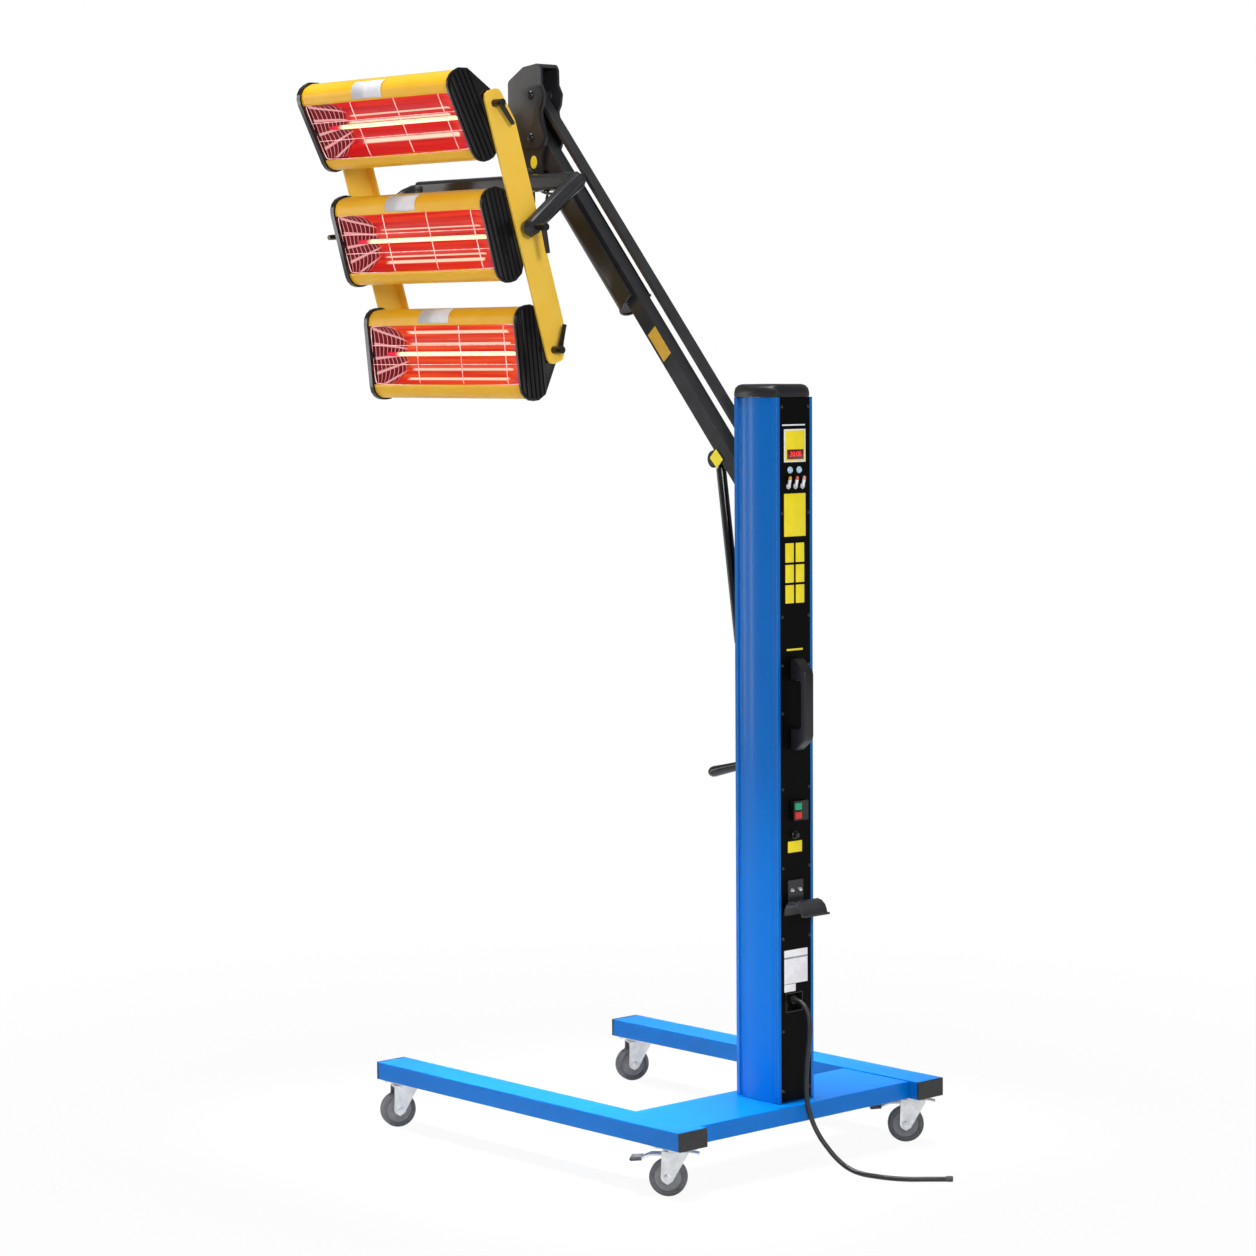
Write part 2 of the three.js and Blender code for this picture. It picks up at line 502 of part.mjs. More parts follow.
// Cable outlet cup with its gland
const cupRear = COLUMN.rear - GAP;
const cupFront = cupRear - OUTLET.depth;
const cup = cut(
  block(OUTLET.left, OUTLET.right, cupFront, cupRear, OUTLET.bottom, OUTLET.top),
  block(OUTLET.left + OUTLET.wall, OUTLET.right - OUTLET.wall, cupFront + OUTLET.wall, cupRear + OVERSHOOT,
    OUTLET.bottom + OUTLET.wall, OUTLET.top - OUTLET.wall),
);
const glandEnd = cupFront + OUTLET.wall + GLAND.length;
const glandRoot = cupFront + OVERSHOOT;
const glandCone = cone(
  [GLAND.x, glandRoot, GLAND.height], [GLAND.x, glandEnd, GLAND.height], GLAND.base, GLAND.tip,
);
add("cable_gland", BLACK, cut(
  join(cup, glandCone),
  rod("y", GLAND.bore, cupFront - OVERSHOOT, glandEnd + OVERSHOOT, GLAND.x, GLAND.height),
));
const cordStart = [GLAND.x, cupFront + CORD.start, GLAND.height];
const cordPath = [cordStart, [GLAND.x, glandEnd, GLAND.height], ...CORD_POINTS];
const cordEnd = new THREE.Vector3(...cordPath[cordPath.length - 1]);
const cordLead = new THREE.Vector3(...cordPath[cordPath.length - 2]).sub(cordEnd).setZ(0).normalize();
const sleeveStart = cordEnd.clone().addScaledVector(cordLead, CORD.sleeveLength);
const sleeveLift = CORD.sleeve - CORD.radius;
add("mains_cord", CABLE, join(
  sweepTube(cordPath, CORD.radius, CORD.sides, CORD.steps),
  cone([sleeveStart.x, sleeveStart.y, sleeveStart.z + sleeveLift],
    [cordEnd.x, cordEnd.y, cordEnd.z + sleeveLift], CORD.sleeve, CORD.sleeve, CORD.sides),
));

// Arm pivots
const slope = radians(ARM.angle);
const lowerRoot = { y: ARM.pivotY, z: ARM.pivotZ };
const upperRoot = { y: ARM.pivotY, z: ARM.pivotZ + ARM.spacing };
const lowerHead = {
  y: lowerRoot.y - ARM.length * Math.cos(slope),
  z: lowerRoot.z + ARM.length * Math.sin(slope),
};
const upperHead = { y: lowerHead.y, z: lowerHead.z + ARM.spacing };
// Pieces built along minus Y from a pivot at the origin are leaned onto the arm.
const lean = (geometry, pivot) => geometry.rotateX(-slope).translate(0, pivot.y, pivot.z);

// Arm hanger inside the column
const hangerOuter = HANGER.inner + HANGER.cheek;
const hangerFront = ARM.pivotY - HANGER.front;
const hangerRear = ARM.pivotY + HANGER.rear;
const hangerBottom = lowerRoot.z - HANGER.below;
const hangerTop = upperRoot.z + HANGER.above;
const padInner = hangerRear - HANGER.pad;
const hangerSlab = (a, b, front) =>
  block(Math.min(a, b), Math.max(a, b), front, hangerRear, hangerBottom, hangerTop);
const padOuter = COLUMN_REAR.inner - GAP;
add("arm_hanger", BLACK, join(
  hangerSlab(HANGER.inner, hangerOuter, hangerFront),
  hangerSlab(-HANGER.inner, -hangerOuter, hangerFront),
  block(-hangerOuter, hangerOuter, hangerRear - HANGER.web, hangerRear, hangerBottom, hangerTop),
  hangerSlab(hangerOuter - OVERSHOOT, padOuter, padInner),
  hangerSlab(OVERSHOOT - hangerOuter, -padOuter, padInner),
  rod("x", PIN.lower, -hangerOuter, hangerOuter, lowerRoot.y, lowerRoot.z),
  rod("x", PIN.upper, -hangerOuter, hangerOuter, upperRoot.y, upperRoot.z),
));

// Lower beam with the ears of the gas spring
const beamHalf = BEAM.width / 2;
const beamRise = BEAM.depth / 2;
const earOuter = GAS_EAR.inner + GAS_EAR.thick;
const earOutline = [
  [-GAS.along - GAS_EAR.root, -beamRise + BEAM.wall], [-GAS.along - GAS_EAR.tip, -GAS.below],
  ...circle(GAS_EAR.tip, -GAS.along, -GAS.below).filter(([, z]) => z < -GAS.below),
  [-GAS.along + GAS_EAR.tip, -GAS.below], [-GAS.along + GAS_EAR.root, -beamRise + BEAM.wall],
];
const beamEnd = ARM.length + BEAM.nose;
const beamTube = cut(
  block(-beamHalf, beamHalf, -beamEnd, BEAM.tail, -beamRise, beamRise),
  block(-beamHalf + BEAM.wall, beamHalf - BEAM.wall, -beamEnd - OVERSHOOT, BEAM.tail + OVERSHOOT,
    -beamRise + BEAM.wall, beamRise - BEAM.wall),
  rod("x", PIN.lower + PIN_CLEARANCE, -BEAM.width, BEAM.width, 0, 0),
  rod("x", PIN.lower + PIN_CLEARANCE, -BEAM.width, BEAM.width, -ARM.length, 0),
);
add("lower_beam", BLACK, lean(join(
  beamTube,
  prism("x", earOutline, GAS_EAR.inner, earOuter),
  prism("x", earOutline, -earOuter, -GAS_EAR.inner),
  rod("x", GAS_EYE.pin, -earOuter, earOuter, -GAS.along, -GAS.below),
), lowerRoot));

// Upper link, a flat bar with a round eye at each end
const linkHalf = LINK.width / 2;
add("upper_link", BLACK, lean(cut(
  join(
    block(-linkHalf, linkHalf, -ARM.length, 0, -LINK.depth / 2, LINK.depth / 2),
    rod("x", LINK.eye, -linkHalf, linkHalf, 0, 0),
    rod("x", LINK.eye, -linkHalf, linkHalf, -ARM.length, 0),
  ),
  rod("x", PIN.upper + PIN_CLEARANCE, -LINK.width, LINK.width, 0, 0),
  rod("x", PIN.upper + PIN_CLEARANCE, -LINK.width, LINK.width, -ARM.length, 0),
), upperRoot));

// Round trough cover clipped under the beam
const troughOutline = (half) => [
  [-half, COVER.top], [-half, COVER.spring],
  ...circle(half, 0, COVER.spring).filter(([, z]) => z < COVER.spring).sort((a, b) => a[0] - b[0]),
  [half, COVER.spring], [half, COVER.top],
];
const coverEnd = ARM.length - COVER.fromHead;
const coverStart = coverEnd - COVER.length;
const hollow = COVER.half - COVER.wall;
add("beam_cover", BLACK, lean(cut(
  prism("y", troughOutline(COVER.half), -coverEnd, -coverStart),
  join(
    prism("y", troughOutline(hollow), -coverEnd + COVER.end, -coverStart - COVER.end),
    block(-hollow, hollow, -coverEnd + COVER.end, -coverStart - COVER.end, 0, COVER.half),
  ),
  block(-beamHalf - GAP, beamHalf + GAP, -coverEnd - OVERSHOOT, -coverStart + OVERSHOOT, -beamRise - GAP,
    COVER.half),
), lowerRoot));

// Gas spring from the beam ears down into the column
const gasTop = {
  y: lowerRoot.y - GAS.along * Math.cos(slope) - GAS.below * Math.sin(slope),
  z: lowerRoot.z + GAS.along * Math.sin(slope) - GAS.below * Math.cos(slope),
};
const gasLength = Math.hypot(gasTop.y - GAS.footY, gasTop.z - GAS.footZ);
const gasLean = Math.atan2(GAS.footY - gasTop.y, gasTop.z - GAS.footZ);
const hang = (geometry) => geometry.rotateX(gasLean).translate(0, gasTop.y, gasTop.z);
const eyeHole = rod("x", GAS_EYE.pin + PIN_CLEARANCE, -2 * GAS_EYE.half, 2 * GAS_EYE.half, 0, 0);
add("gas_cylinder", BLACK, hang(cut(
  join(
    rod("z", GAS.radius, -GAS.body, -2 * GAS_EYE.radius, 0, 0),
    rod("z", GAS_EYE.half, -2 * GAS_EYE.radius - OVERSHOOT, -GAS_EYE.radius / 2 - GAS_EYE.pin, 0, 0),
    rod("x", GAS_EYE.radius, -GAS_EYE.half, GAS_EYE.half, 0, 0),
  ),
  eyeHole,
  rod("z", GAS.rod + PIN_CLEARANCE, -GAS.body - OVERSHOOT, -3 * GAS_EYE.radius, 0, 0),
)));
add("gas_rod", ZINC, hang(join(
  rod("z", GAS.rod, -gasLength, -GAS.body + GAS.engaged, 0, 0),
  rod("x", GAS_EYE.radius, -GAS_EYE.half, GAS_EYE.half, 0, -gasLength),
)));

// Lock lever through the front slot
const lockRoot = [LOCK.x, LOCK.rootY, LOCK.rootZ];
const lockTip = [LOCK.x, LOCK.tipY, LOCK.tipZ];
const lockMiddle = lockRoot.map((value, i) => value + (lockTip[i] - value) * (1 - LOCK.gripShare));
add("lock_lever", BLACK, join(
  cone(lockRoot, lockMiddle, LOCK.rod, LOCK.rod),
  cone(lockMiddle, lockTip, LOCK.rod, LOCK.grip),
  ball(lockTip, LOCK.grip, SMALL_FACETS),
  rod("x", LOCK.grip, LOCK.x - LOCK.rod, COLUMN_REAR.inner - GAP, LOCK.rootY, LOCK.rootZ),
));

// Arm head, a casting open towards the beam
const headAt = ([y, z]) => [lowerHead.y + y, lowerHead.z + z];
const headCorners = [
  HEAD_NOSE.low, HEAD_NOSE.high, HEAD_NOSE.brow, ...HEAD_REAR,
  HEAD_FOOT.rear, HEAD_FOOT.front, HEAD_FOOT.throat,
];
const headOutline = rounded(headCorners.map((point) => [...headAt(point), HEAD.corner]));
const headRear = Math.max(...headCorners.map(([y]) => y));
const headHigh = Math.max(...headCorners.map(([, z]) => z));
const headLow = Math.min(...headCorners.map(([, z]) => z));
const padRear = HEAD_REAR.slice(HEAD_PAD.first, HEAD_PAD.last + 1).map(([y, z]) => [y - HEAD_PAD.inset, z]);
const padOutline = rounded([
  [...headAt([HEAD_PAD.front, padRear[padRear.length - 1][1]]), HEAD_PAD.round],
  [...headAt([HEAD_PAD.front, padRear[0][1]]), HEAD_PAD.round],
  ...padRear.map((point) => [...headAt(point), HEAD.corner]),
]);
const padHalf = HEAD.half + HEAD_PAD.proud;
const cavityFront = HEAD_NOSE.low[0] + HEAD.rim;
const headCavity = rounded([
  [...headAt([cavityFront, HEAD_NOSE.low[1]]), HEAD.corner],
  [...headAt([cavityFront, HEAD_NOSE.high[1] - HEAD.rim]), HEAD.corner],
  [...headAt([HEAD_NOSE.brow[0], HEAD_NOSE.brow[1] - HEAD.rim]), HEAD.corner],
  headAt([headRear + HEAD.rim, headHigh - HEAD.rim]),
  headAt([headRear + HEAD.rim, headLow + HEAD.floor]),
  [...headAt([HEAD_FOOT.front[0], headLow + HEAD.floor]), HEAD.corner],
]);
const forkPivot = { y: lowerHead.y + FORK_PIVOT.back, z: lowerHead.z - FORK_PIVOT.drop };
const runOuter = RUN.x + RUN.width / 2;
const runInner = RUN.x - RUN.width / 2;
const washerInner = runOuter + PIN_CLEARANCE;
const pinBoss = (pivot, radius, half) => [
  rod("x", radius, -HEAD.half, HEAD.half, pivot.y, pivot.z),
  rod("x", HEAD.boss, half + HEAD.bossGap, HEAD.half, pivot.y, pivot.z),
  rod("x", HEAD.boss, -HEAD.half, -half - HEAD.bossGap, pivot.y, pivot.z),
];
add("arm_head", BLACK, join(
  cut(
    join(prism("x", headOutline, -HEAD.half, HEAD.half), prism("x", padOutline, -padHalf, padHalf)),
    prism("x", headCavity, -HEAD.inner, HEAD.inner),
  ),
  ...pinBoss(lowerHead, PIN.lower, beamHalf),
  ...pinBoss(upperHead, PIN.upper, linkHalf),
  rod("x", FORK_PIVOT.boss, HEAD.inner, FORK_PIVOT.face, forkPivot.y, forkPivot.z),
  rod("x", FORK_PIVOT.stud, FORK_PIVOT.face - OVERSHOOT, washerInner + OVERSHOOT, forkPivot.y, forkPivot.z),
  rod("x", FORK_PIVOT.washer, washerInner, washerInner + FORK_PIVOT.washerThick, forkPivot.y, forkPivot.z),
));

// Lamp fork
const runZ = forkPivot.z - RUN.drop;
const arrayPivot = { x: ARRAY_PIVOT.x, z: lowerHead.z - ARRAY_PIVOT.drop };
const nearLegY = lowerHead.y + NEAR_LEG.offset;
const nearFace = lowerHead.y + LAMP.nearY;
const capInnerNear = nearFace - CAP.near;
const ribOuterNear = nearFace + CAP.rib;
const farFace = capInnerNear - LAMP.window;
const capOuterFar = farFace - CAP.far;
const ribOuterFar = capOuterFar - CAP.rib;
const nearBarInner = ribOuterNear + BAR_GAP;
const nearBarOuter = nearBarInner + BAR.thick;
const farBarInner = ribOuterFar - BAR_GAP;
const farBarOuter = farBarInner - BAR.thick;
const farLegY = farBarOuter - BAR_GAP - FAR_LEG.radius;
const bendY = farLegY + FAR_LEG.bend;
const legRun = Math.hypot(arrayPivot.x - RUN.x, runZ - arrayPivot.z);
const onLeg = (length, y) => [
  RUN.x + ((arrayPivot.x - RUN.x) * length) / legRun, y, runZ - ((runZ - arrayPivot.z) * length) / legRun,
];
const runOutline = rounded([
  [runInner, runZ - RUN.height / 2, RUN.corner], [runOuter, runZ - RUN.height / 2, RUN.corner],
  [runOuter, runZ + RUN.height / 2, RUN.corner], [runInner, runZ + RUN.height / 2, RUN.corner],
]);
const studHole = STUD.radius + STUD.clearance;
add("lamp_fork", BLACK, cut(
  join(
    prism("y", runOutline, bendY, nearLegY),
    rod("x", RUN.hub, runInner, runOuter, forkPivot.y, forkPivot.z),
    ball([RUN.x, nearLegY, runZ], NEAR_LEG.root, SMALL_FACETS),
    cone([RUN.x, nearLegY, runZ], [arrayPivot.x, nearLegY, arrayPivot.z], NEAR_LEG.root, NEAR_LEG.end),
    ball([arrayPivot.x, nearLegY, arrayPivot.z], NEAR_LEG.ball, SMALL_FACETS),
    sweepTube([
      [RUN.x, bendY + FAR_LEG.start, runZ], [RUN.x, bendY, runZ],
      onLeg(FAR_LEG.bend / 4, farLegY + FAR_LEG.bend / 4),
      onLeg(FAR_LEG.bend, farLegY), onLeg(legRun, farLegY),
    ], FAR_LEG.radius, FAR_LEG.sides, FAR_LEG.steps),
    rod("y", FAR_LEG.radius, farLegY - FAR_LEG.radius, farLegY + FAR_LEG.radius, arrayPivot.x, arrayPivot.z),
  ),
  rod("x", FORK_PIVOT.stud + PIN_CLEARANCE, runInner - OVERSHOOT, runOuter + OVERSHOOT, forkPivot.y,
    forkPivot.z),
  rod("y", studHole, nearLegY - 2 * NEAR_LEG.ball, nearLegY + 2 * NEAR_LEG.ball, arrayPivot.x, arrayPivot.z),
  rod("y", studHole, farLegY, farLegY + 2 * FAR_LEG.radius, arrayPivot.x, arrayPivot.z),
));

// Lamp bars, built about the array pivot and tilted
const barEnd = BAR.spacing + BAR.end;
const barOutline = rounded([
  [BAR.front, -barEnd, BAR.end / 2], [BAR.front, barEnd, BAR.end / 2], [-BAR.narrow, barEnd, BAR.end / 2],
  [-BAR.rear, barEnd - BAR.chamfer, BAR.end], [-BAR.rear, BAR.chamfer - barEnd, BAR.end],
  [-BAR.narrow, -barEnd, BAR.end / 2],
]);
const onArray = (geometry, tilt, x = 0, z = 0) =>
  geometry.rotateY(radians(tilt)).translate(arrayPivot.x + x, 0, arrayPivot.z + z);
const bar = (inner, outer, inward) => {
  const [low, high] = [Math.min(inner, outer), Math.max(inner, outer)];
  const flangeHalf = barEnd - BAR.chamfer - BAR_FLANGE.inset;
  const lip = inner + inward * BAR_FLANGE.depth;
  const [from, to] = [Math.min(low, lip), Math.max(high, lip)];
  const hole = (place) => rod("y", studHole, low - OVERSHOOT, high + OVERSHOOT, 0, place * BAR.spacing);
  return onArray(cut(
    join(
      prism("y", barOutline, low, high),
      block(-BAR.rear, BAR.thick - BAR.rear, from, to, -flangeHalf, flangeHalf),
    ),
    ...LAMPS.map(({ place }) => hole(place)),
  ), BAR.tilt);
};
add("near_bar", YELLOW, bar(nearBarInner, nearBarOuter, -1));
add("far_bar", YELLOW, bar(farBarInner, farBarOuter, 1));

// Lamp cassettes, built about their own pivots with the window facing plus X
const lampOutline = (grow) => {
  const upper = [
    [LAMP.front + grow, LAMP.half + grow, LAMP.corner + grow], [LAMP_BACK.shoulder, LAMP.half + grow],
    [LAMP_BACK.flank - grow / 2, LAMP_BACK.flankHalf + grow],
    [-LAMP_BACK.tail - grow, LAMP_BACK.tailHalf + grow],
  ];
  return rounded([...upper, ...upper.map(([x, z, radius]) => [x, -z, radius]).reverse()], LAMP_STEPS);
};
const housingNear = capInnerNear - GAP;
const housingFar = farFace + GAP;
const housing = () => cut(
  prism("y", lampOutline(0), housingFar, housingNear),
  prism("y", lampOutline(-LAMP.wall), housingFar - OVERSHOOT, housingNear + OVERSHOOT),
  block(LAMP_BACK.shoulder, LAMP.front + LAMP.corner, housingFar - OVERSHOOT, housingNear + OVERSHOOT,
    -LAMP.windowHalf, LAMP.windowHalf),
);
const ribs = (low, high) => {
  const bars = [];
  for (let i = 0; i < CAP.ribs; i += 1) {
    const x = LAMP.front - CAP.ribWidth / 2 - i * CAP.ribPitch;
    bars.push(block(x - CAP.ribWidth / 2, x + CAP.ribWidth / 2, low, high, -2 * LAMP.half, 2 * LAMP.half));
  }
  return common(join(...bars), prism("y", lampOutline(0), low, high));
};
const lampCap = (flat, outer, ribTip, studTip, nutAt) => {
  const order = (a, b) => [Math.min(a, b), Math.max(a, b)];
  const parts = [
    prism("y", lampOutline(CAP.lip), ...order(flat, outer)),
    ribs(...order(outer, ribTip)),
    rod("y", CAP.boss, ...order(flat, ribTip), 0, 0),
    rod("y", STUD.radius, ...order(outer, studTip), 0, 0, SMALL_FACETS),
  ];
  if (nutAt !== null) parts.push(rod("y", STUD.nut, ...order(nutAt, studTip), 0, 0, NUT_FACETS));
  return join(...parts);
};
const rimX = REFLECTOR.rim;
const elementNear = housingNear;
const elementFar = housingFar;
const troughLine = [];
for (let i = 0; i <= REFLECTOR.steps; i += 1) {
  const z = REFLECTOR.half * (i / REFLECTOR.steps) - REFLECTOR.half * (1 - i / REFLECTOR.steps);
  const wave = Math.abs(Math.sin((Math.PI * z) / REFLECTOR.half));
  const flank = rimX - REFLECTOR.depth * wave ** REFLECTOR.shape;
  const ridge = rimX - REFLECTOR.depth + REFLECTOR.ridge * (1 - wave);
  troughLine.push([Math.abs(z) < REFLECTOR.half / 2 ? ridge : flank, z]);
}
const trough = [...troughLine, ...[...troughLine].reverse().map(([x, z]) => [x - REFLECTOR.sheet, z])];
const endPlate = (end, inward) => prism("z", [
  [rimX, end], [rimX, end + inward * REFLECTOR.sheet],
  [rimX - REFLECTOR.depth, end + inward * (REFLECTOR.slope + REFLECTOR.sheet)],
  [rimX - REFLECTOR.depth, end + inward * REFLECTOR.slope],
], -REFLECTOR.half, REFLECTOR.half);
const element = () => join(
  prism("y", trough, elementFar, elementNear),
  endPlate(elementNear, -1),
  endPlate(elementFar, 1),
  rod("y", TUBE.radius, elementFar + TUBE.inset, elementNear - TUBE.inset, TUBE.x, 0, TUBE.sides),
);
const grille = () => {
  const high = LAMP.windowHalf - GRILLE.clearance;
  const near = housingNear - GRILLE.clearance;
  const far = housingFar + GRILLE.clearance;
  const wire = (y0, y1, z0, z1, x = GRILLE.x) => block(x, x + GRILLE.wire, y0, y1, z0, z1);
  const frame = cut(
    wire(far, near, -high, high),
    block(0, 2 * LAMP.front, far + GRILLE.wire, near - GRILLE.wire, GRILLE.wire - high, high - GRILLE.wire),
  );
  const reach = high - GRILLE.wire / 2;
  const wires = [];
  for (const share of GRILLE_CROSS_SHARES) {
    const y = far + (near - far) * share;
    wires.push(wire(y - GRILLE.wire / 2, y + GRILLE.wire / 2, -reach, reach, GRILLE.x - GRILLE.crossBehind));
  }
  for (let i = 1; i <= GRILLE.longWires; i += 1) {
    const z = high * ((2 * i) / (GRILLE.longWires + 1) - 1);
    const [low, top] = [z - GRILLE.wire / 2, z + GRILLE.wire / 2];
    wires.push(wire(far + GRILLE.wire / 2, near - GRILLE.wire / 2, low, top));
  }
  return join(frame, ...wires);
};
const spacingX = BAR.spacing * Math.sin(radians(BAR.tilt));
const spacingZ = BAR.spacing * Math.cos(radians(BAR.tilt));
for (const { name, place, tilt } of LAMPS) {
  const set = (geometry) => onArray(geometry, tilt, place * spacingX, place * spacingZ);
  const leverSide = place === 0 ? nearLegY + NEAR_LEG.ball + STUD.proud : nearBarOuter + STUD.proud;
  const farTip = place === 0 ? farBarOuter - STUD.proud : farBarOuter - PIN_CLEARANCE - STUD.nutThick;
  const farNut = place === 0 ? null : farBarOuter - PIN_CLEARANCE;
  add(`lamp_${name}_housing`, YELLOW, set(housing()));
  add(`lamp_${name}_near_cap`, BLACK, set(lampCap(capInnerNear, nearFace, ribOuterNear, leverSide, null)));
  add(`lamp_${name}_far_cap`, BLACK, set(lampCap(farFace, capOuterFar, ribOuterFar, farTip, farNut)));
  add(`lamp_${name}_element`, HOT, set(element()));
  add(`lamp_${name}_grille`, STEEL, set(grille()));
}

// Clamp levers over the stud ends
const clampLever = (start, [turnX, turnZ], x, z) => {
  const handleY = start + LEVER.set;
  const grip = [x + turnX * LEVER.length, handleY, z + turnZ * LEVER.length];
  return cut(
    join(
      rod("y", LEVER.hub, start, start + LEVER.hubLength, x, z),
      cone([x, handleY, z], grip, LEVER.root, LEVER.tip, SMALL_FACETS),
    ),
    rod("y", studHole, start - OVERSHOOT, start + LEVER.bore, x, z),
  );
};
const barLeverY = nearBarOuter + GAP;
add("top_lever", BLACK,
  clampLever(barLeverY, LEVER_TURNS.top, arrayPivot.x + spacingX, arrayPivot.z + spacingZ));
add("bottom_lever", BLACK,
  clampLever(barLeverY, LEVER_TURNS.bottom, arrayPivot.x - spacingX, arrayPivot.z - spacingZ));
add("tilt_lever", BLACK,
  clampLever(nearLegY + NEAR_LEG.ball + GAP, LEVER_TURNS.tilt, arrayPivot.x, arrayPivot.z));

// The frame stands at the bottom centre of everything but the cord
const span = new THREE.Box3();
for (const { name, geometry } of pieces) {
  geometry.computeBoundingBox();
  if (name !== "mains_cord") span.union(geometry.boundingBox);
}
const shiftX = -(span.min.x + span.max.x) / 2;
const shiftY = -(span.min.y + span.max.y) / 2;
const lamp = new THREE.Group();
lamp.name = "infrared_curing_lamp";
for (const { name, material, geometry } of pieces) {
  const shown = geometry.translate(shiftX, shiftY, 0).toNonIndexed();
  shown.computeVertexNormals();
  const mesh = new THREE.Mesh(shown, new THREE.MeshStandardMaterial(material));
  mesh.name = name;
  lamp.add(mesh);
}

export default lamp;
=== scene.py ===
import json
import math

import bpy
from mathutils import Matrix, Quaternion, Vector


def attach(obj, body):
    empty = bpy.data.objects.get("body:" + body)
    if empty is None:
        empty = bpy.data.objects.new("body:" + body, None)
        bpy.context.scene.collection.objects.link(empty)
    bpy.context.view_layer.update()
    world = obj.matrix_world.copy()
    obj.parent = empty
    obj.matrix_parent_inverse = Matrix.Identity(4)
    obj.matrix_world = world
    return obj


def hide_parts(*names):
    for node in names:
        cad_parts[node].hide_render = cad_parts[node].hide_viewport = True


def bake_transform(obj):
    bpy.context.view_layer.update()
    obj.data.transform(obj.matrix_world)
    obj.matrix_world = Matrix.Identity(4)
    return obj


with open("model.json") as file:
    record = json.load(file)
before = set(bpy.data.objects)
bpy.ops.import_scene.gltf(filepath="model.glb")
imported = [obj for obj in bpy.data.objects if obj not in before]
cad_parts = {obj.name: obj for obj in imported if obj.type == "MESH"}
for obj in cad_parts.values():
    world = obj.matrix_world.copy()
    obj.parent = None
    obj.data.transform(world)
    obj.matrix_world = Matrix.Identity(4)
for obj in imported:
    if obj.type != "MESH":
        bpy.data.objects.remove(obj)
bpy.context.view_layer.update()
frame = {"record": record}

BODY_OF = {node: body for body, nodes in frame["record"]["behaviour"]["bodies"].items() for node in nodes}

# The drawing's millimetres have the column's middle at X 0 and the front of the cross plate at Y 0.
ORIGIN = Vector((-0.017594, 0.417123, 0.0))
# The two sides of the stand, and which way along X each lies.
SIDES = (("right", 1), ("left", -1))
RIGHTWARD, REARWARD, DOWNWARD = (1, 0, 0), (0, 1, 0), (0, 0, -1)


def spot(x, y, z):
    """A point of the drawing, in metres in the shared frame."""
    return Vector((x, y, z)) / 1000 + ORIGIN


# ---------------------------------------------------------------- camera

# The camera that was fitted to the photo's straight edges.
CAMERA_PLACE = (5169.9, 5338.6, 1755.2)
CAMERA_LOOK = Vector((-0.6697, -0.7383, -0.0803))
CAMERA_ROLL = math.radians(-0.374)
SENSOR_WIDTH, FOCAL_LENGTH = 36, 98.69

camera_data = bpy.data.cameras.new("camera")
camera_data.sensor_width = SENSOR_WIDTH
camera_data.lens = FOCAL_LENGTH
camera = bpy.data.objects.new("camera", camera_data)
bpy.context.scene.collection.objects.link(camera)
camera.location = spot(*CAMERA_PLACE)
camera.rotation_mode = "QUATERNION"
camera.rotation_quaternion = CAMERA_LOOK.to_track_quat("-Z", "Y") @ Quaternion((0, 0, 1), CAMERA_ROLL)
bpy.context.scene.camera = camera
bpy.context.scene.view_settings.view_transform = "Standard"

# ---------------------------------------------------------------- materials


def paint_hex(code):
    """An sRGB hex colour as linear RGBA."""
    parts = [int(code[i : i + 2], 16) / 255 for i in (1, 3, 5)]
    return (*[c / 12.92 if c <= 0.04045 else ((c + 0.055) / 1.055) ** 2.4 for c in parts], 1.0)


def node(tree, kind, settings=None, links=None):
    """Adds a node. Settings are its properties or input values, links are outputs joined to its inputs."""
    made = tree.nodes.new(kind)
    for key, value in (settings or {}).items():
        if isinstance(key, str) and hasattr(made, key):
            setattr(made, key, value)
        else:
            made.inputs[key].default_value = value
    for key, output in (links or {}).items():
        tree.links.new(output, made.inputs[key])
    return made


def new_finish(name):
    """An empty material with its shader, output and Object coordinates."""
    finish = bpy.data.materials.new(name)
    finish.use_nodes = True
    tree = finish.node_tree
    tree.nodes.clear()
    shader = node(tree, "ShaderNodeBsdfPrincipled")
    node(tree, "ShaderNodeOutputMaterial", links={"Surface": shader.outputs["BSDF"]})
    where = node(tree, "ShaderNodeTexCoord").outputs["Object"]
    return finish, tree, shader, where


def node_of_type(tree, kind):
    """The node of a type that a tree has one of."""
    return next(n for n in tree.nodes if n.type == kind)


def calc(tree, kind, first, second=None):
    """One step of arithmetic on outputs or numbers."""
    made = node(tree, "ShaderNodeMath", {"operation": kind})
    for i, value in enumerate((first, second)):
        if isinstance(value, (int, float)):
            made.inputs[i].default_value = value
        elif value is not None:
            tree.links.new(value, made.inputs[i])
    return made.outputs[0]


def speckle(tree, where, size_mm, detail, rough=0.5):
    """Noise whose blotches are about size_mm across."""
    settings = {"Scale": 1000 / size_mm, "Detail": detail, "Roughness": rough}
    return node(tree, "ShaderNodeTexNoise", settings, {"Vector": where}).outputs["Fac"]


def between(tree, factor, low, high, start=0.35, end=0.65):
    """A colour between two hex colours, or a value between two numbers, as a factor goes from start to end."""
    if isinstance(low, str):
        ramp = node(tree, "ShaderNodeValToRGB", links={"Fac": factor})
        for element, place, code in zip(ramp.color_ramp.elements, (start, end), (low, high)):
            element.position = place
            element.color = paint_hex(code)
        return ramp.outputs["Color"]
    span = {"From Min": start, "From Max": end, "To Min": low, "To Max": high}
    return node(tree, "ShaderNodeMapRange", span, {"Value": factor}).outputs["Result"]


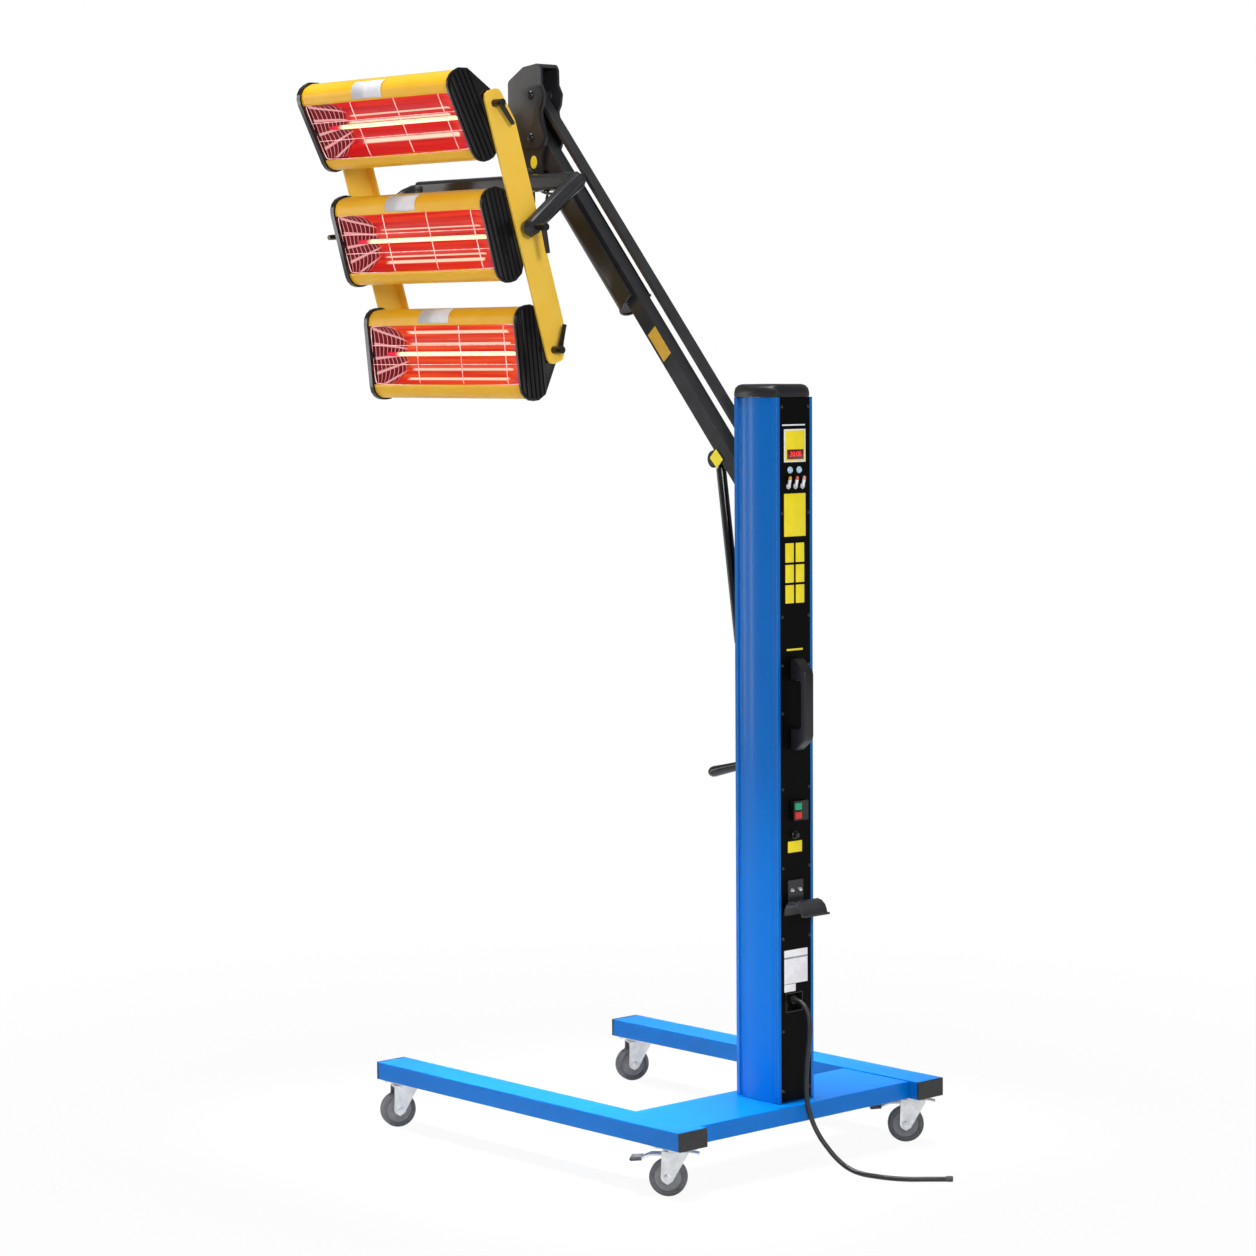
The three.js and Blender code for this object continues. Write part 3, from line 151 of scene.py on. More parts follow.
def blended(tree, share, first, second):
    """A colour that goes from the first to the second with the share. Each is a hex colour or an output."""
    made = node(tree, "ShaderNodeMix", {"data_type": "RGBA"}, {0: share})
    for i, colour in ((6, first), (7, second)):
        if isinstance(colour, str):
            made.inputs[i].default_value = paint_hex(colour)
        else:
            tree.links.new(colour, made.inputs[i])
    return made.outputs[2]


def coated(
    name, low, high, patch_mm, grain_mm, relief_mm, rough,
    metallic=0.0, coat=0.0, coat_rough=0.1, shine=0.5,
):
    """A paint, plastic or metal. Its colour is between two hex colours in patches of patch_mm, its surface
    has a grain of grain_mm that stands relief_mm high, and its roughness varies a little with the patches."""
    finish, tree, shader, where = new_finish(name)
    mottle = speckle(tree, where, patch_mm, 4.0, 0.6)
    grain = speckle(tree, where, grain_mm, 2.0)
    bump = node(tree, "ShaderNodeBump", {"Strength": 0.6, "Distance": relief_mm / 1000}, {"Height": grain})
    tree.links.new(between(tree, mottle, low, high), shader.inputs["Base Color"])
    tree.links.new(between(tree, mottle, rough * 0.95, rough * 1.05), shader.inputs["Roughness"])
    tree.links.new(bump.outputs["Normal"], shader.inputs["Normal"])
    shader.inputs["Metallic"].default_value = metallic
    shader.inputs["Specular IOR Level"].default_value = shine
    shader.inputs["Coat Weight"].default_value = coat
    shader.inputs["Coat Roughness"].default_value = coat_rough
    return finish


# The numbers after the two colours: patch, grain and relief in mm, then the roughness.
# Powder coat on steel and extruded aluminium: satin, with an orange peel of 2 to 2.4 mm that softens
# reflections, a thin clear layer, and patches 80 to 90 mm across that hardly show.
BLUE_COAT = coated(
    "blue_powder_coat", "#0065B9", "#0067BC", 90, 2.4, 0.004, 0.3, shine=0.12, coat=0.12, coat_rough=0.12)
YELLOW_COAT = coated(
    "yellow_powder_coat", "#FFCB45", "#FFD152", 80, 2.0, 0.006, 0.4, shine=0.25, coat=0.1, coat_rough=0.15)
# The same coat on the lamp shells, a deeper yellow than the bars.
SHELL_COAT = coated(
    "shell_powder_coat", "#FFBC16", "#FFC429", 80, 2.0, 0.006, 0.38, shine=0.25, coat=0.1, coat_rough=0.15)
# Black powder coat on the arm and the fork: a grain of 1.6 mm, patches of 40 mm and a semi-gloss sheen.
BLACK_COAT = coated("black_powder_coat", "#2A2A2C", "#303033", 40, 1.6, 0.003, 0.2, shine=0.32)
# ABS mouldings: an even semi-gloss black with a grain of 1 mm and patches of 30 mm.
BLACK_ABS = coated("moulded_abs", "#101012", "#161619", 30, 1.0, 0.005, 0.28)
# Polished ABS: it mirrors the room in slow waves of 9 mm, with patches of 50 mm.
GLOSS_ABS = coated("polished_abs", "#101012", "#151517", 50, 9.0, 0.005, 0.2)
# Satin ABS of the column's cap, the grab handle and the cover under the beam: a grain of 1.2 mm and patches
# of 30 mm.
SATIN_ABS = coated("satin_abs", "#1D1D1F", "#232326", 30, 1.2, 0.004, 0.3, shine=0.35)
# Polyester film over the rear panel: flat black with a grain of 1.2 mm and patches of 35 mm.
PANEL_FILM = coated("panel_film", "#050505", "#080809", 35, 1.2, 0.01, 0.5, shine=0.06)
# Zinc plate on pressed steel: bright, with cloudy patches of 14 mm left by the bath and a grain of 1.5 mm.
ZINC_PLATE = coated("zinc_plate", "#CDD0D3", "#E2E4E6", 14, 1.5, 0.006, 0.34, metallic=1.0)
# Hard chrome on the piston rod: bright, with faint waves of 3 mm and patches of 12 mm.
CHROME = coated("hard_chrome", "#D9DCDF", "#F2F4F6", 12, 3.0, 0.005, 0.12, metallic=1.0)
# Thermoplastic rubber tyres: matt grey, with a moulded skin of 1.4 mm and a little dust in patches of 9 mm.
TYRE_RUBBER = coated("grey_tyre_rubber", "#47484B", "#56585B", 9, 1.4, 0.03, 0.55, shine=0.35)
# Polypropylene wheel centres: a lighter, smoother grey, with a grain of 2 mm and patches of 12 mm.
WHEEL_CENTRE = coated("wheel_centre_polypropylene", "#636467", "#737477", 12, 2.0, 0.02, 0.45)
# EPDM brake pads and cord sleeve: dark grey and almost without shine, a grain of 1.5 mm, patches of 10 mm.
SOFT_RUBBER = coated("soft_rubber", "#3A3B3D", "#4B4C4E", 10, 1.5, 0.06, 0.62)
# Rubber-sheathed mains cable: near black, with an unevenness of 3 mm from the extruder and patches of 14 mm.
CABLE_RUBBER = coated("cable_sheath", "#131415", "#1A1C1D", 14, 3.0, 0.03, 0.45)
# Printed vinyl labels: flat colour in patches of 15 to 20 mm, under a thin film with waves of 3 mm.
YELLOW_VINYL = coated("yellow_vinyl", "#F2DC12", "#F8E424", 20, 3.0, 0.01, 0.4)
AMBER_VINYL = coated("amber_vinyl", "#C99A2C", "#DBAE3E", 20, 3.0, 0.01, 0.4)
WHITE_VINYL = coated("white_vinyl", "#E6E5EA", "#F4F3F7", 18, 3.0, 0.01, 0.4)
GREY_PRINT = coated("grey_print", "#8F9298", "#A3A6AC", 15, 3.0, 0.01, 0.5)
# Polycarbonate lens and display window: patches of 6 and 14 mm under a clear gloss, with waves of 4 and 5 mm.
PALE_LENS = coated("pale_blue_lens", "#9FC4DC", "#C5E0F0", 6, 4.0, 0.01, 0.22, coat=0.5)
RED_WINDOW = coated("red_display_window", "#5A0A0C", "#6C0E10", 14, 5.0, 0.01, 0.2, coat=0.5)
# Dyed ABS keys: a grain of 1.5 mm and patches of 12 mm.
GREEN_KEY = coated("green_key_plastic", "#17966A", "#23A878", 12, 1.5, 0.03, 0.35)
RED_KEY = coated("red_key_plastic", "#C5271F", "#D8352C", 12, 1.5, 0.03, 0.35)
# Dyed nylon sleeves on the toggles: a grain of 2 mm and patches of 6 mm.
AMBER_TIP = coated("amber_tip_plastic", "#C99A2E", "#DDB04A", 6, 2.0, 0.01, 0.3)
ORANGE_TIP = coated("orange_tip_plastic", "#C45A3C", "#DB7452", 6, 2.0, 0.01, 0.3)
PINK_TIP = coated("pink_tip_plastic", "#D98A8A", "#EBA6A4", 6, 2.0, 0.01, 0.3)


def glowing(name, low, high, patch_mm, strength):
    """A surface that shines with its own colour."""
    finish = coated(name, low, high, patch_mm, 3.0, 0.01, 0.35)
    tree = finish.node_tree
    shader = node_of_type(tree, "BSDF_PRINCIPLED")
    colour = shader.inputs["Base Color"].links[0].from_socket
    tree.links.new(colour, shader.inputs["Emission Color"])
    shader.inputs["Emission Strength"].default_value = strength
    return finish


# The display's lit segments, in patches of 4 mm.
LED_RED = glowing("lit_segments", "#E8202A", "#FF3A3A", 4, 1.0)
# Stainless guard wire in front of the tubes: a painted glow, pale pink, that stands for the light of the lamp
# behind it, in patches of 16 mm.
PAINTED_GLOW_WIRE = glowing("guard_wire_painted_glow", "#F08A84", "#FFD8D0", 16, 0.55)


def quartz_glow():
    """A lit quartz tube: white-yellow along the filament, whose coil shows every 5 mm, and a cooler red at
    its far end, which fades from 62 to 86 mm."""
    finish, tree, shader, where = new_finish("lit_quartz_tube")
    along = node(tree, "ShaderNodeSeparateXYZ", links={"Vector": where}).outputs["Y"]
    far_end = spot(0, -1012, 0).y
    heat = node(
        tree, "ShaderNodeMapRange",
        {"interpolation_type": "SMOOTHSTEP", "From Min": far_end + 0.062, "From Max": far_end + 0.086},
        {"Value": along},
    ).outputs["Result"]
    hot = between(tree, speckle(tree, where, 5, 2.0), "#FFD27A", "#FFF0CC", 0.3, 0.6)
    colour = blended(tree, heat, "#D2183A", hot)
    tree.links.new(colour, shader.inputs["Emission Color"])
    tree.links.new(colour, shader.inputs["Base Color"])
    tree.links.new(between(tree, heat, 0.7, 1.05, 0.0, 1.0), shader.inputs["Emission Strength"])
    shader.inputs["Roughness"].default_value = 0.15
    return finish


QUARTZ = quartz_glow()

# Along a reflector sheet, as shares of its length from the far end: where the painted images of the tube rise
# and fall, where the painted image in the far end plate stops, and where the painted glow near the other end
# falls off.
STREAK_RISE, STREAK_END = 0.03, (0.86, 0.88)
PLATE_END, NEAR_FALL = (0.15, 0.18), (0.9, 0.99)
# The fan painted as a reflection in the far end plate: its rays in a full turn, how much longer than wide it
# is drawn, its foot along the sheet, and the rate of its rings, which lie 10 mm apart.
FAN_RAYS, FAN_STRETCH, FAN_FOOT, RING_RATE = 26.0, 3.8, 1.05, 330.0


def painted_mirror_glow(name, wall, streak, streaks):
    """Polished reflector sheet whose light from its tube is painted into its emission: a red glow with painted
    reflections.
    The map runs across the sheet in U and along the tube in V, from the far end at 0. Each streak is a painted
    reflection
    of the tube: its place across, its half width, where it begins and its brightness."""
    finish, tree, shader, _ = new_finish(name)
    uv = node(tree, "ShaderNodeTexCoord").outputs["UV"]
    split = node(tree, "ShaderNodeSeparateXYZ", links={"Vector": uv})
    across, along = split.outputs["X"], split.outputs["Y"]

    # Painted glow and reflection: soft bands along the tube, about 9 mm wide, in the painted red glow of the
    # walls, stand for the rolled sheet's uneven image of the hot tube.
    stretched = node(tree, "ShaderNodeMapping", {"Scale": (14.0, 1.2, 1.0)}, {"Vector": uv}).outputs[0]
    bands = node(tree, "ShaderNodeTexNoise", {"Scale": 1.0, "Detail": 3.0}, {"Vector": stretched})
    colour = between(tree, bands.outputs["Fac"], *wall, 0.36, 0.66)
    # Painted reflections: each streak paints the tube's image onto the sheet.
    for place, width, begin, bright in streaks:
        distance = calc(tree, "ABSOLUTE", calc(tree, "SUBTRACT", across, place))
        line = between(tree, distance, 1.0, 0.0, width * 0.45, width)
        started = between(tree, along, 0.0, bright, begin, begin + STREAK_RISE)
        lasting = between(tree, along, 1.0, 0.0, *STREAK_END)
        mask = calc(tree, "MULTIPLY", calc(tree, "MULTIPLY", line, started), lasting)
        colour = blended(tree, mask, colour, streak)
    # Painted reflection: the far end plate shows the guard wires as a fan of pale lines over dark red.
    from_middle = calc(tree, "SUBTRACT", across, 0.5)
    from_foot = calc(tree, "SUBTRACT", calc(tree, "MULTIPLY", along, FAN_STRETCH), FAN_FOOT)
    angle = calc(tree, "ARCTAN2", from_middle, from_foot)
    rays = calc(tree, "GREATER_THAN", calc(tree, "SINE", calc(tree, "MULTIPLY", angle, FAN_RAYS)), 0.8)
    rings = calc(tree, "GREATER_THAN", calc(tree, "SINE", calc(tree, "MULTIPLY", along, RING_RATE)), 0.9)
    end_colour = blended(tree, calc(tree, "MAXIMUM", rays, rings), "#6E0E18", "#E8A0A0")
    bowed = calc(tree, "ADD", along, calc(tree, "MULTIPLY", calc(tree, "ABSOLUTE", from_middle), 0.1))
    colour = blended(tree, between(tree, bowed, 1.0, 0.0, *PLATE_END), colour, end_colour)
    # Painted shade: close to the near cap the painted glow falls off to purple.
    colour = blended(tree, between(tree, along, 0.0, 0.85, *NEAR_FALL), colour, "#A8285E")
    # All of this pattern is painted light: emission stands for the tube's glow and reflections on the sheet,
    # over a dark base.
    tree.links.new(colour, shader.inputs["Emission Color"])
    shader.inputs["Base Color"].default_value = paint_hex("#2A0608")
    shader.inputs["Emission Strength"].default_value = 1.0
    shader.inputs["Specular IOR Level"].default_value = 0.15
    shader.inputs["Roughness"].default_value = 0.3
    return finish


# ---------------------------------------------------------------- modelling by operator

# Points of a CAD solid this close, in metres, are one, and faces within this angle are one flat.
MERGE_REACH, FLAT_ANGLE = 0.00002, math.radians(1.5)
# Edges sharper than this, in degrees, stay sharp in a turned piece, a dressed solid and a panel plate.
TURNED_EDGE, SOLID_EDGE, PLATE_EDGE = 32, 35, 40
# Edges of a dressed solid sharper than this, in degrees, are rounded.
ROUNDED_EDGE = 40


def deselect():
    if bpy.context.object is not None and bpy.context.object.mode != "OBJECT":
        bpy.ops.object.mode_set(mode="OBJECT")
    bpy.ops.object.select_all(action="DESELECT")


def only(piece):
    deselect()
    piece.select_set(True)
    bpy.context.view_layer.objects.active = piece


def edit_all():
    """Enters edit mode on the active piece with everything selected."""
    bpy.ops.object.mode_set(mode="EDIT")
    bpy.ops.mesh.select_all(action="SELECT")


def apply_place():
    """Fixes the active piece's place in its mesh."""
    bpy.ops.object.transform_apply(location=True, rotation=True, scale=True)


def smooth(piece, degrees):
    only(piece)
    bpy.ops.object.shade_smooth_by_angle(angle=math.radians(degrees))


def settle(piece, name, finish, body=None):
    """Applies the piece's place, names it, and gives it its finish and, if given, its body."""
    only(piece)
    apply_place()
    piece.name = name
    piece.data.name = name
    piece.data.materials.clear()
    piece.data.materials.append(finish)
    if body:
        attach(piece, body)
    return piece


def dressed(name, finish, edge_mm, segments=2):
    """A finer copy of a CAD solid: merged, its flats joined up, its curves smooth and its edges rounded."""
    piece = bpy.data.objects.new(f"{name}_shell", bpy.data.objects[name].data.copy())
    bpy.context.scene.collection.objects.link(piece)
    only(piece)
    edit_all()
    bpy.ops.mesh.remove_doubles(threshold=MERGE_REACH)
    bpy.ops.mesh.dissolve_limited(angle_limit=FLAT_ANGLE)
    bpy.ops.object.mode_set(mode="OBJECT")
    smooth(piece, SOLID_EDGE)
    bevel = piece.modifiers.new("edges", "BEVEL")
    bevel.width = edge_mm / 1000
    bevel.segments = segments
    bevel.limit_method = "ANGLE"
    bevel.angle_limit = math.radians(ROUNDED_EDGE)
    bevel.harden_normals = True
    bpy.ops.object.modifier_apply(modifier=bevel.name)
    settle(piece, f"{name}_shell", finish, BODY_OF[name])
    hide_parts(name)
    return piece


def second_finish(piece, finish, chosen):
    """Gives another finish to the faces whose centre is chosen."""
    piece.data.materials.append(finish)
    for face in piece.data.polygons:
        face.material_index = 1 if chosen(face.center) else 0


def bevelled_box(middle, size, edge_mm):
    """A box about a point, in metres, with every edge bevelled."""
    deselect()
    bpy.ops.mesh.primitive_cube_add(size=1, location=middle, scale=size)
    piece = bpy.context.object
    apply_place()
    edit_all()
    bpy.ops.mesh.bevel(offset=edge_mm / 1000, segments=2, affect="EDGES")
    bpy.ops.object.mode_set(mode="OBJECT")
    return piece


def drawn_round(profile, steps):
    """A turned shape along Z: a filled circle drawn out ring by ring. A profile is (radius, height) in mm."""
    deselect()
    radius, height = profile[0]
    bpy.ops.mesh.primitive_circle_add(
        vertices=steps, radius=radius / 1000, fill_type="NGON", location=(0, 0, 0))
    piece = bpy.context.object
    edit_all()
    bpy.ops.transform.translate(value=(0, 0, height / 1000))
    for next_radius, next_height in profile[1:]:
        rise = (0, 0, (next_height - height) / 1000)
        bpy.ops.mesh.extrude_region_move(TRANSFORM_OT_translate={"value": rise})
        size = next_radius / radius
        bpy.ops.transform.resize(value=(size, size, 1), center_override=(0, 0, next_height / 1000))
        radius, height = next_radius, next_height
    bpy.ops.mesh.select_all(action="SELECT")
    bpy.ops.mesh.normals_make_consistent(inside=False)
    bpy.ops.object.mode_set(mode="OBJECT")
    smooth(piece, TURNED_EDGE)
    return piece


def aimed(point, axis):
    """The place of a piece drawn along Z that starts at a point, in metres, and runs along an axis."""
    swing = Vector((0, 0, 1)).rotation_difference(Vector(axis).normalized())
    return Matrix.Translation(point) @ swing.to_matrix().to_4x4()


def placed(piece, matrix):
    """Moves a piece by a matrix and fixes the place in its mesh."""
    piece.matrix_world = matrix
    only(piece)
    apply_place()
    return piece


def turned(name, profile, steps, matrix, finish, body):
    """A turned piece, placed by a matrix."""
    return settle(placed(drawn_round(profile, steps), matrix), name, finish, body)


def copy_of(piece, matrix, name, finish, body):
    """A copy with its own mesh, placed by a matrix."""
    twin = bpy.data.objects.new(name, piece.data.copy())
    bpy.context.scene.collection.objects.link(twin)
    placed(twin, matrix)
    return settle(twin, name, finish, body)


def discard(*samples):
    for sample in samples:
        bpy.data.objects.remove(sample, do_unlink=True)


def turned_copies(profile, steps, copies):
    """A turned piece modelled once and copied. Each copy is its name, place, finish and body."""
    sample = drawn_round(profile, steps)
    for name, matrix, finish, body in copies:
        copy_of(sample, matrix, name, finish, body)
    discard(sample)


def bent_curve(name, points, radius_mm, sides, steps, cyclic=False):
    """A round curve bent through points in metres."""
    curve = bpy.data.curves.new(name, "CURVE")
    curve.dimensions = "3D"
    curve.bevel_depth = radius_mm / 1000
    curve.bevel_resolution = sides
    curve.resolution_u = steps
    curve.use_fill_caps = True
    spline = curve.splines.new("BEZIER")
    spline.bezier_points.add(len(points) - 1)
    spline.use_cyclic_u = cyclic
    for knot, point in zip(spline.bezier_points, points):
        knot.co = point
        knot.handle_left_type = knot.handle_right_type = "AUTO"
    piece = bpy.data.objects.new(name, curve)
    bpy.context.scene.collection.objects.link(piece)
    return piece


def wire(name, points, radius_mm, finish, body=None, matrix=None, sides=3, cyclic=False):
    """A round wire bent through points in metres, made a mesh."""
    only(bent_curve(name, points, radius_mm, sides, 6, cyclic))
    bpy.ops.object.convert(target="MESH")
    piece = bpy.context.object
    if matrix is not None:
        placed(piece, matrix)
    bpy.ops.object.shade_smooth()
    return settle(piece, name, finish, body)


def joined(pieces):
    """One piece out of several."""
    only(pieces[0])
    for piece in pieces:
        piece.select_set(True)
    bpy.ops.object.join()
    return pieces[0]


# ---------------------------------------------------------------- mains cord

CORD_ROUTE = [
    (12, 147.7, 366), (12, 174.7, 366), (12, 184, 366), (12.5, 199, 362), (12.8, 212, 351), (12.6, 220, 334),
    (12, 222, 312), (11.5, 220, 285), (11, 215, 257), (10, 210, 222), (8.5, 207, 190), (7, 207, 158),
    (3, 213, 122), (-4, 230, 82), (-12, 251, 53), (-20, 275, 29), (-28, 302, 13), (-36, 330, 6.4),
    (-42, 362, 5.9), (-52, 394, 5.9), (-70, 425, 5.9), (-103, 457, 5.9), (-141, 493, 5.9),
]
CORD_RADIUS = 5.35
SLEEVE = [(4.6, -1.0), (6.1, -0.4), (6.3, 1.5), (6.3, 11.5), (5.9, 13.6), (5.4, 14)]
# The sleeve is thicker than the cord, so it lies this much higher.
SLEEVE_RISE = Vector((0, 0, 0.0006))

cord_points = [spot(*point) for point in CORD_ROUTE]
mains_cord = bent_curve("mains_cord_sheath", cord_points, CORD_RADIUS, 5, 10)
mains_cord.data.materials.append(CABLE_RUBBER)
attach(mains_cord, "stand")
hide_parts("mains_cord")
sleeve_place = aimed(cord_points[-1] + SLEEVE_RISE, cord_points[-2] - cord_points[-1])
end_sleeve = turned("cord_end_sleeve", SLEEVE, 20, sleeve_place, SOFT_RUBBER, "stand")

# ---------------------------------------------------------------- room


def light(name, place, aim, width, height, power, spread=180):
    """A rectangular softbox, in metres and watts. The spread, in degrees, is that of a grid on its front."""
    data = bpy.data.lights.new(name, "AREA")
    data.shape = "RECTANGLE"
    data.size = width
    data.size_y = height
    data.energy = power
    data.spread = math.radians(spread)
    lamp = bpy.data.objects.new(name, data)
    lamp.location = place
    lamp.rotation_euler = (Vector(aim) - Vector(place)).to_track_quat("-Z", "Y").to_euler()
    lamp.visible_camera = False
    bpy.context.scene.collection.objects.link(lamp)


light("overhead_softbox", place=(0.8, -0.6, 5.4), aim=(0, 0, 1.2), width=2.2, height=2.2, power=115)
# Two narrow ones with a grid hang over the legs and light their tops alone.
for name, x, power in (("left_leg_softbox", -0.4, 8), ("right_leg_softbox", 0.33, 11)):
    light(name, place=(x, 0.1, 1.45), aim=(x, 0.101, 0), width=0.15, height=1.3, power=power, spread=50)
light("side_softbox", place=(3.02, -4.36, 2.0), aim=(0, 0, 1.2), width=0.5, height=3.6, power=36)
light("panel_softbox", place=(3.2, 6.4, 3.2), aim=(0, 0, 1.4), width=1.2, height=1.6, power=235)

# The backdrop is white to the camera. Surfaces are lit by a dimmer room, and reflections see one dimmer yet.
ROOM_LIGHT, ROOM_MIRRORED = 0.47, 0.26
world = bpy.data.worlds.new("studio")
bpy.context.scene.world = world
world.use_nodes = True
sky = world.node_tree
sky.nodes.clear()
sky_ray = node(sky, "ShaderNodeLightPath").outputs
room = between(sky, sky_ray["Is Glossy Ray"], ROOM_LIGHT, ROOM_MIRRORED, 0.0, 1.0)
air = node(sky, "ShaderNodeBackground", {"Color": paint_hex("#F6F8FA")}, {"Strength": room}).outputs[0]
backdrop = node(sky, "ShaderNodeBackground", {"Color": paint_hex("#FFFFFF"), "Strength": 1.0}).outputs[0]
seen_sky = node(sky, "ShaderNodeMixShader", links={0: sky_ray["Is Camera Ray"], 1: air, 2: backdrop})
node(sky, "ShaderNodeOutputWorld", links={"Surface": seen_sky.outputs[0]})

# Grey studio paper without a grain. To the camera it is 94% the backdrop's white up to 1 m from the origin
# and all white from 2.6 m. In reflections it is 80% white.
WHITE_NEAR, WHITE_START, WHITE_ALL, WHITE_MIRRORED = 0.94, 1.0, 2.6, 0.8


def studio_paper():
    finish, tree, shader, where = new_finish("pale_studio_floor")
    shader.inputs["Base Color"].default_value = paint_hex("#C4C4C4")
    shader.inputs["Roughness"].default_value = 0.9
    shader.inputs["Specular IOR Level"].default_value = 0.0
    ray = node(tree, "ShaderNodeLightPath").outputs
    away = node(tree, "ShaderNodeVectorMath", {"operation": "LENGTH"}, {0: where}).outputs["Value"]
    to_camera = between(tree, away, WHITE_NEAR, 1.0, WHITE_START, WHITE_ALL)
    share = calc(
        tree, "ADD",
        calc(tree, "MULTIPLY", ray["Is Camera Ray"], to_camera),
        calc(tree, "MULTIPLY", ray["Is Glossy Ray"], WHITE_MIRRORED),
    )
    white = node(tree, "ShaderNodeEmission", {"Color": paint_hex("#FFFFFF"), "Strength": 1.0}).outputs[0]
    seen = node(tree, "ShaderNodeMixShader", links={0: share, 1: shader.outputs[0], 2: white}).outputs[0]
    tree.links.new(seen, node_of_type(tree, "OUTPUT_MATERIAL").inputs["Surface"])
    return finish


deselect()
bpy.ops.mesh.primitive_plane_add(size=60, location=(0, 0, 0))
floor = bpy.context.object
floor.name = "floor"
floor.data.materials.append(studio_paper())

# ---------------------------------------------------------------- stand

for side, _ in SIDES:
    dressed(f"leg_{side}", BLUE_COAT, 1.6)
    for end in ("front", "rear"):
        dressed(f"leg_cap_{end}_{side}", BLACK_ABS, 1.2)
dressed("cross_plate", BLUE_COAT, 1.6)
dressed("column", BLUE_COAT, 0.5, segments=1)
dressed("column_panel", PANEL_FILM, 0.5)
dressed("column_cap", SATIN_ABS, 1.5)
dressed("grab_handle", SATIN_ABS, 4.0, segments=3)
dressed("switch_housing", BLACK_ABS, 0.8)
dressed("start_button", GREEN_KEY, 1.2)
dressed("stop_button", RED_KEY, 1.2)
dressed("cable_hook", BLACK_COAT, 0.8)
dressed("cable_gland", BLACK_ABS, 0.6)
dressed("arm_hanger", BLACK_COAT, 1.0)
dressed("lock_lever", BLACK_ABS, 1.5)

LOCK_GRIP = [(6.2, 0), (9.4, 3), (9.8, 12), (11, 60), (12, 84), (11.2, 92), (8, 98), (3, 100.5)]
# The grip's end lies this far over the lever's tip, in metres.
GRIP_OVERLAP = 0.092
lock_root, lock_tip = spot(20, 74, 872), spot(20, -67, 838)
lock_way = (lock_tip - lock_root).normalized()
grip_place = aimed(lock_tip - lock_way * GRIP_OVERLAP, lock_way)
turned("lock_lever_grip", LOCK_GRIP, 24, grip_place, GLOSS_ABS, "lock")

# ---------------------------------------------------------------- casters

# In mm: half the width between the swivels, the axle's height and trail, and where a bolt's head starts.
HALF_TRACK, AXLE_HEIGHT, TRAIL, BOLT_HEIGHT = 360, 40, 18, 101.7
# Name, side, the swivel's place along Y in mm, and its turn in degrees.
CASTERS = [
    ("front_right", 1, -728, 68), ("front_left", -1, -728, 68),
    ("rear_right", 1, 177, 40), ("rear_left", -1, 177, 46),
]
# The wheel from its hub out to the middle of the tread. The other half is the mirror of this one.
HALF_WHEEL = [
    (5.2, -14.5), (13.2, -14.5), (14.2, -13.4), (14.6, -10.2), (16, -9.4), (26, -8.8), (28.2, -9.4),
    (29, -12.0), (31, -12.9), (33.6, -12.4), (34.4, -13.0), (37, -12.4), (39.2, -10.6), (40, -7.6),
]
AXLE_NUT = [(9, 0), (9, 3.6), (8, 4.4), (4.6, 4.4), (4.6, 6.4), (3.8, 7.2)]
PLATE_BOLT = [(5.5, 0), (5.5, 2.6), (4.8, 3.4), (2, 3.5)]
BOLT_PLACES = ((25, -36), (-25, -36), (25, 27), (-25, 27))
# In metres: from the wheel's middle to a nut, the radius and half width of its centre, and from the swivel
# to where the brake lever's rubber pad starts.
NUT_REACH, CENTRE_RADIUS, CENTRE_HALF_WIDTH, PAD_START = 0.0225, 0.0275, 0.0146, 0.0725

wheel = drawn_round(HALF_WHEEL + [(r, -h) for r, h in reversed(HALF_WHEEL)], 48)
nut = drawn_round(AXLE_NUT, 6)
bolt = drawn_round(PLATE_BOLT, 6)
for name, side, axis_y, yaw in CASTERS:
    turn = math.radians(yaw)
    axle = Vector((math.cos(turn), math.sin(turn), 0))
    back = Vector((math.sin(turn), -math.cos(turn), 0))
    swivel = spot(side * HALF_TRACK, axis_y, 0)
    middle = spot(side * HALF_TRACK + TRAIL * math.sin(turn), axis_y - TRAIL * math.cos(turn), AXLE_HEIGHT)

    def in_centre(point):
        """Whether a point of the wheel is in its centre and not in its tyre."""
        offset = point - middle
        aside = offset.dot(axle)
        return (offset - axle * aside).length < CENTRE_RADIUS and abs(aside) < CENTRE_HALF_WIDTH

    tyre = copy_of(
        wheel, aimed(middle, axle), f"caster_tyre_{name}", TYRE_RUBBER, f"wheel_{name}")
    second_finish(tyre, WHEEL_CENTRE, in_centre)
    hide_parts(f"caster_wheel_{name}")
    dressed(f"caster_plate_{name}", ZINC_PLATE, 0.8)
    dressed(f"caster_fork_{name}", ZINC_PLATE, 0.9)
    for face, way in (("outer", 1), ("inner", -1)):
        place = aimed(middle + axle * way * NUT_REACH, axle * way)
        copy_of(nut, place, f"axle_nut_{name}_{face}", ZINC_PLATE, f"fork_{name}")
    for i, (dx, dy) in enumerate(BOLT_PLACES):
        place = aimed(spot(side * HALF_TRACK + dx, axis_y + dy, BOLT_HEIGHT), DOWNWARD)
        copy_of(bolt, place, f"plate_bolt_{name}_{i}", ZINC_PLATE, "stand")
    if name.startswith("rear"):
        lever = dressed(f"caster_brake_{name}", ZINC_PLATE, 1.2)
        second_finish(lever, SOFT_RUBBER, lambda point: (point - swivel).dot(back) > PAD_START)
discard(wheel, nut, bolt)

# ---------------------------------------------------------------- column panel

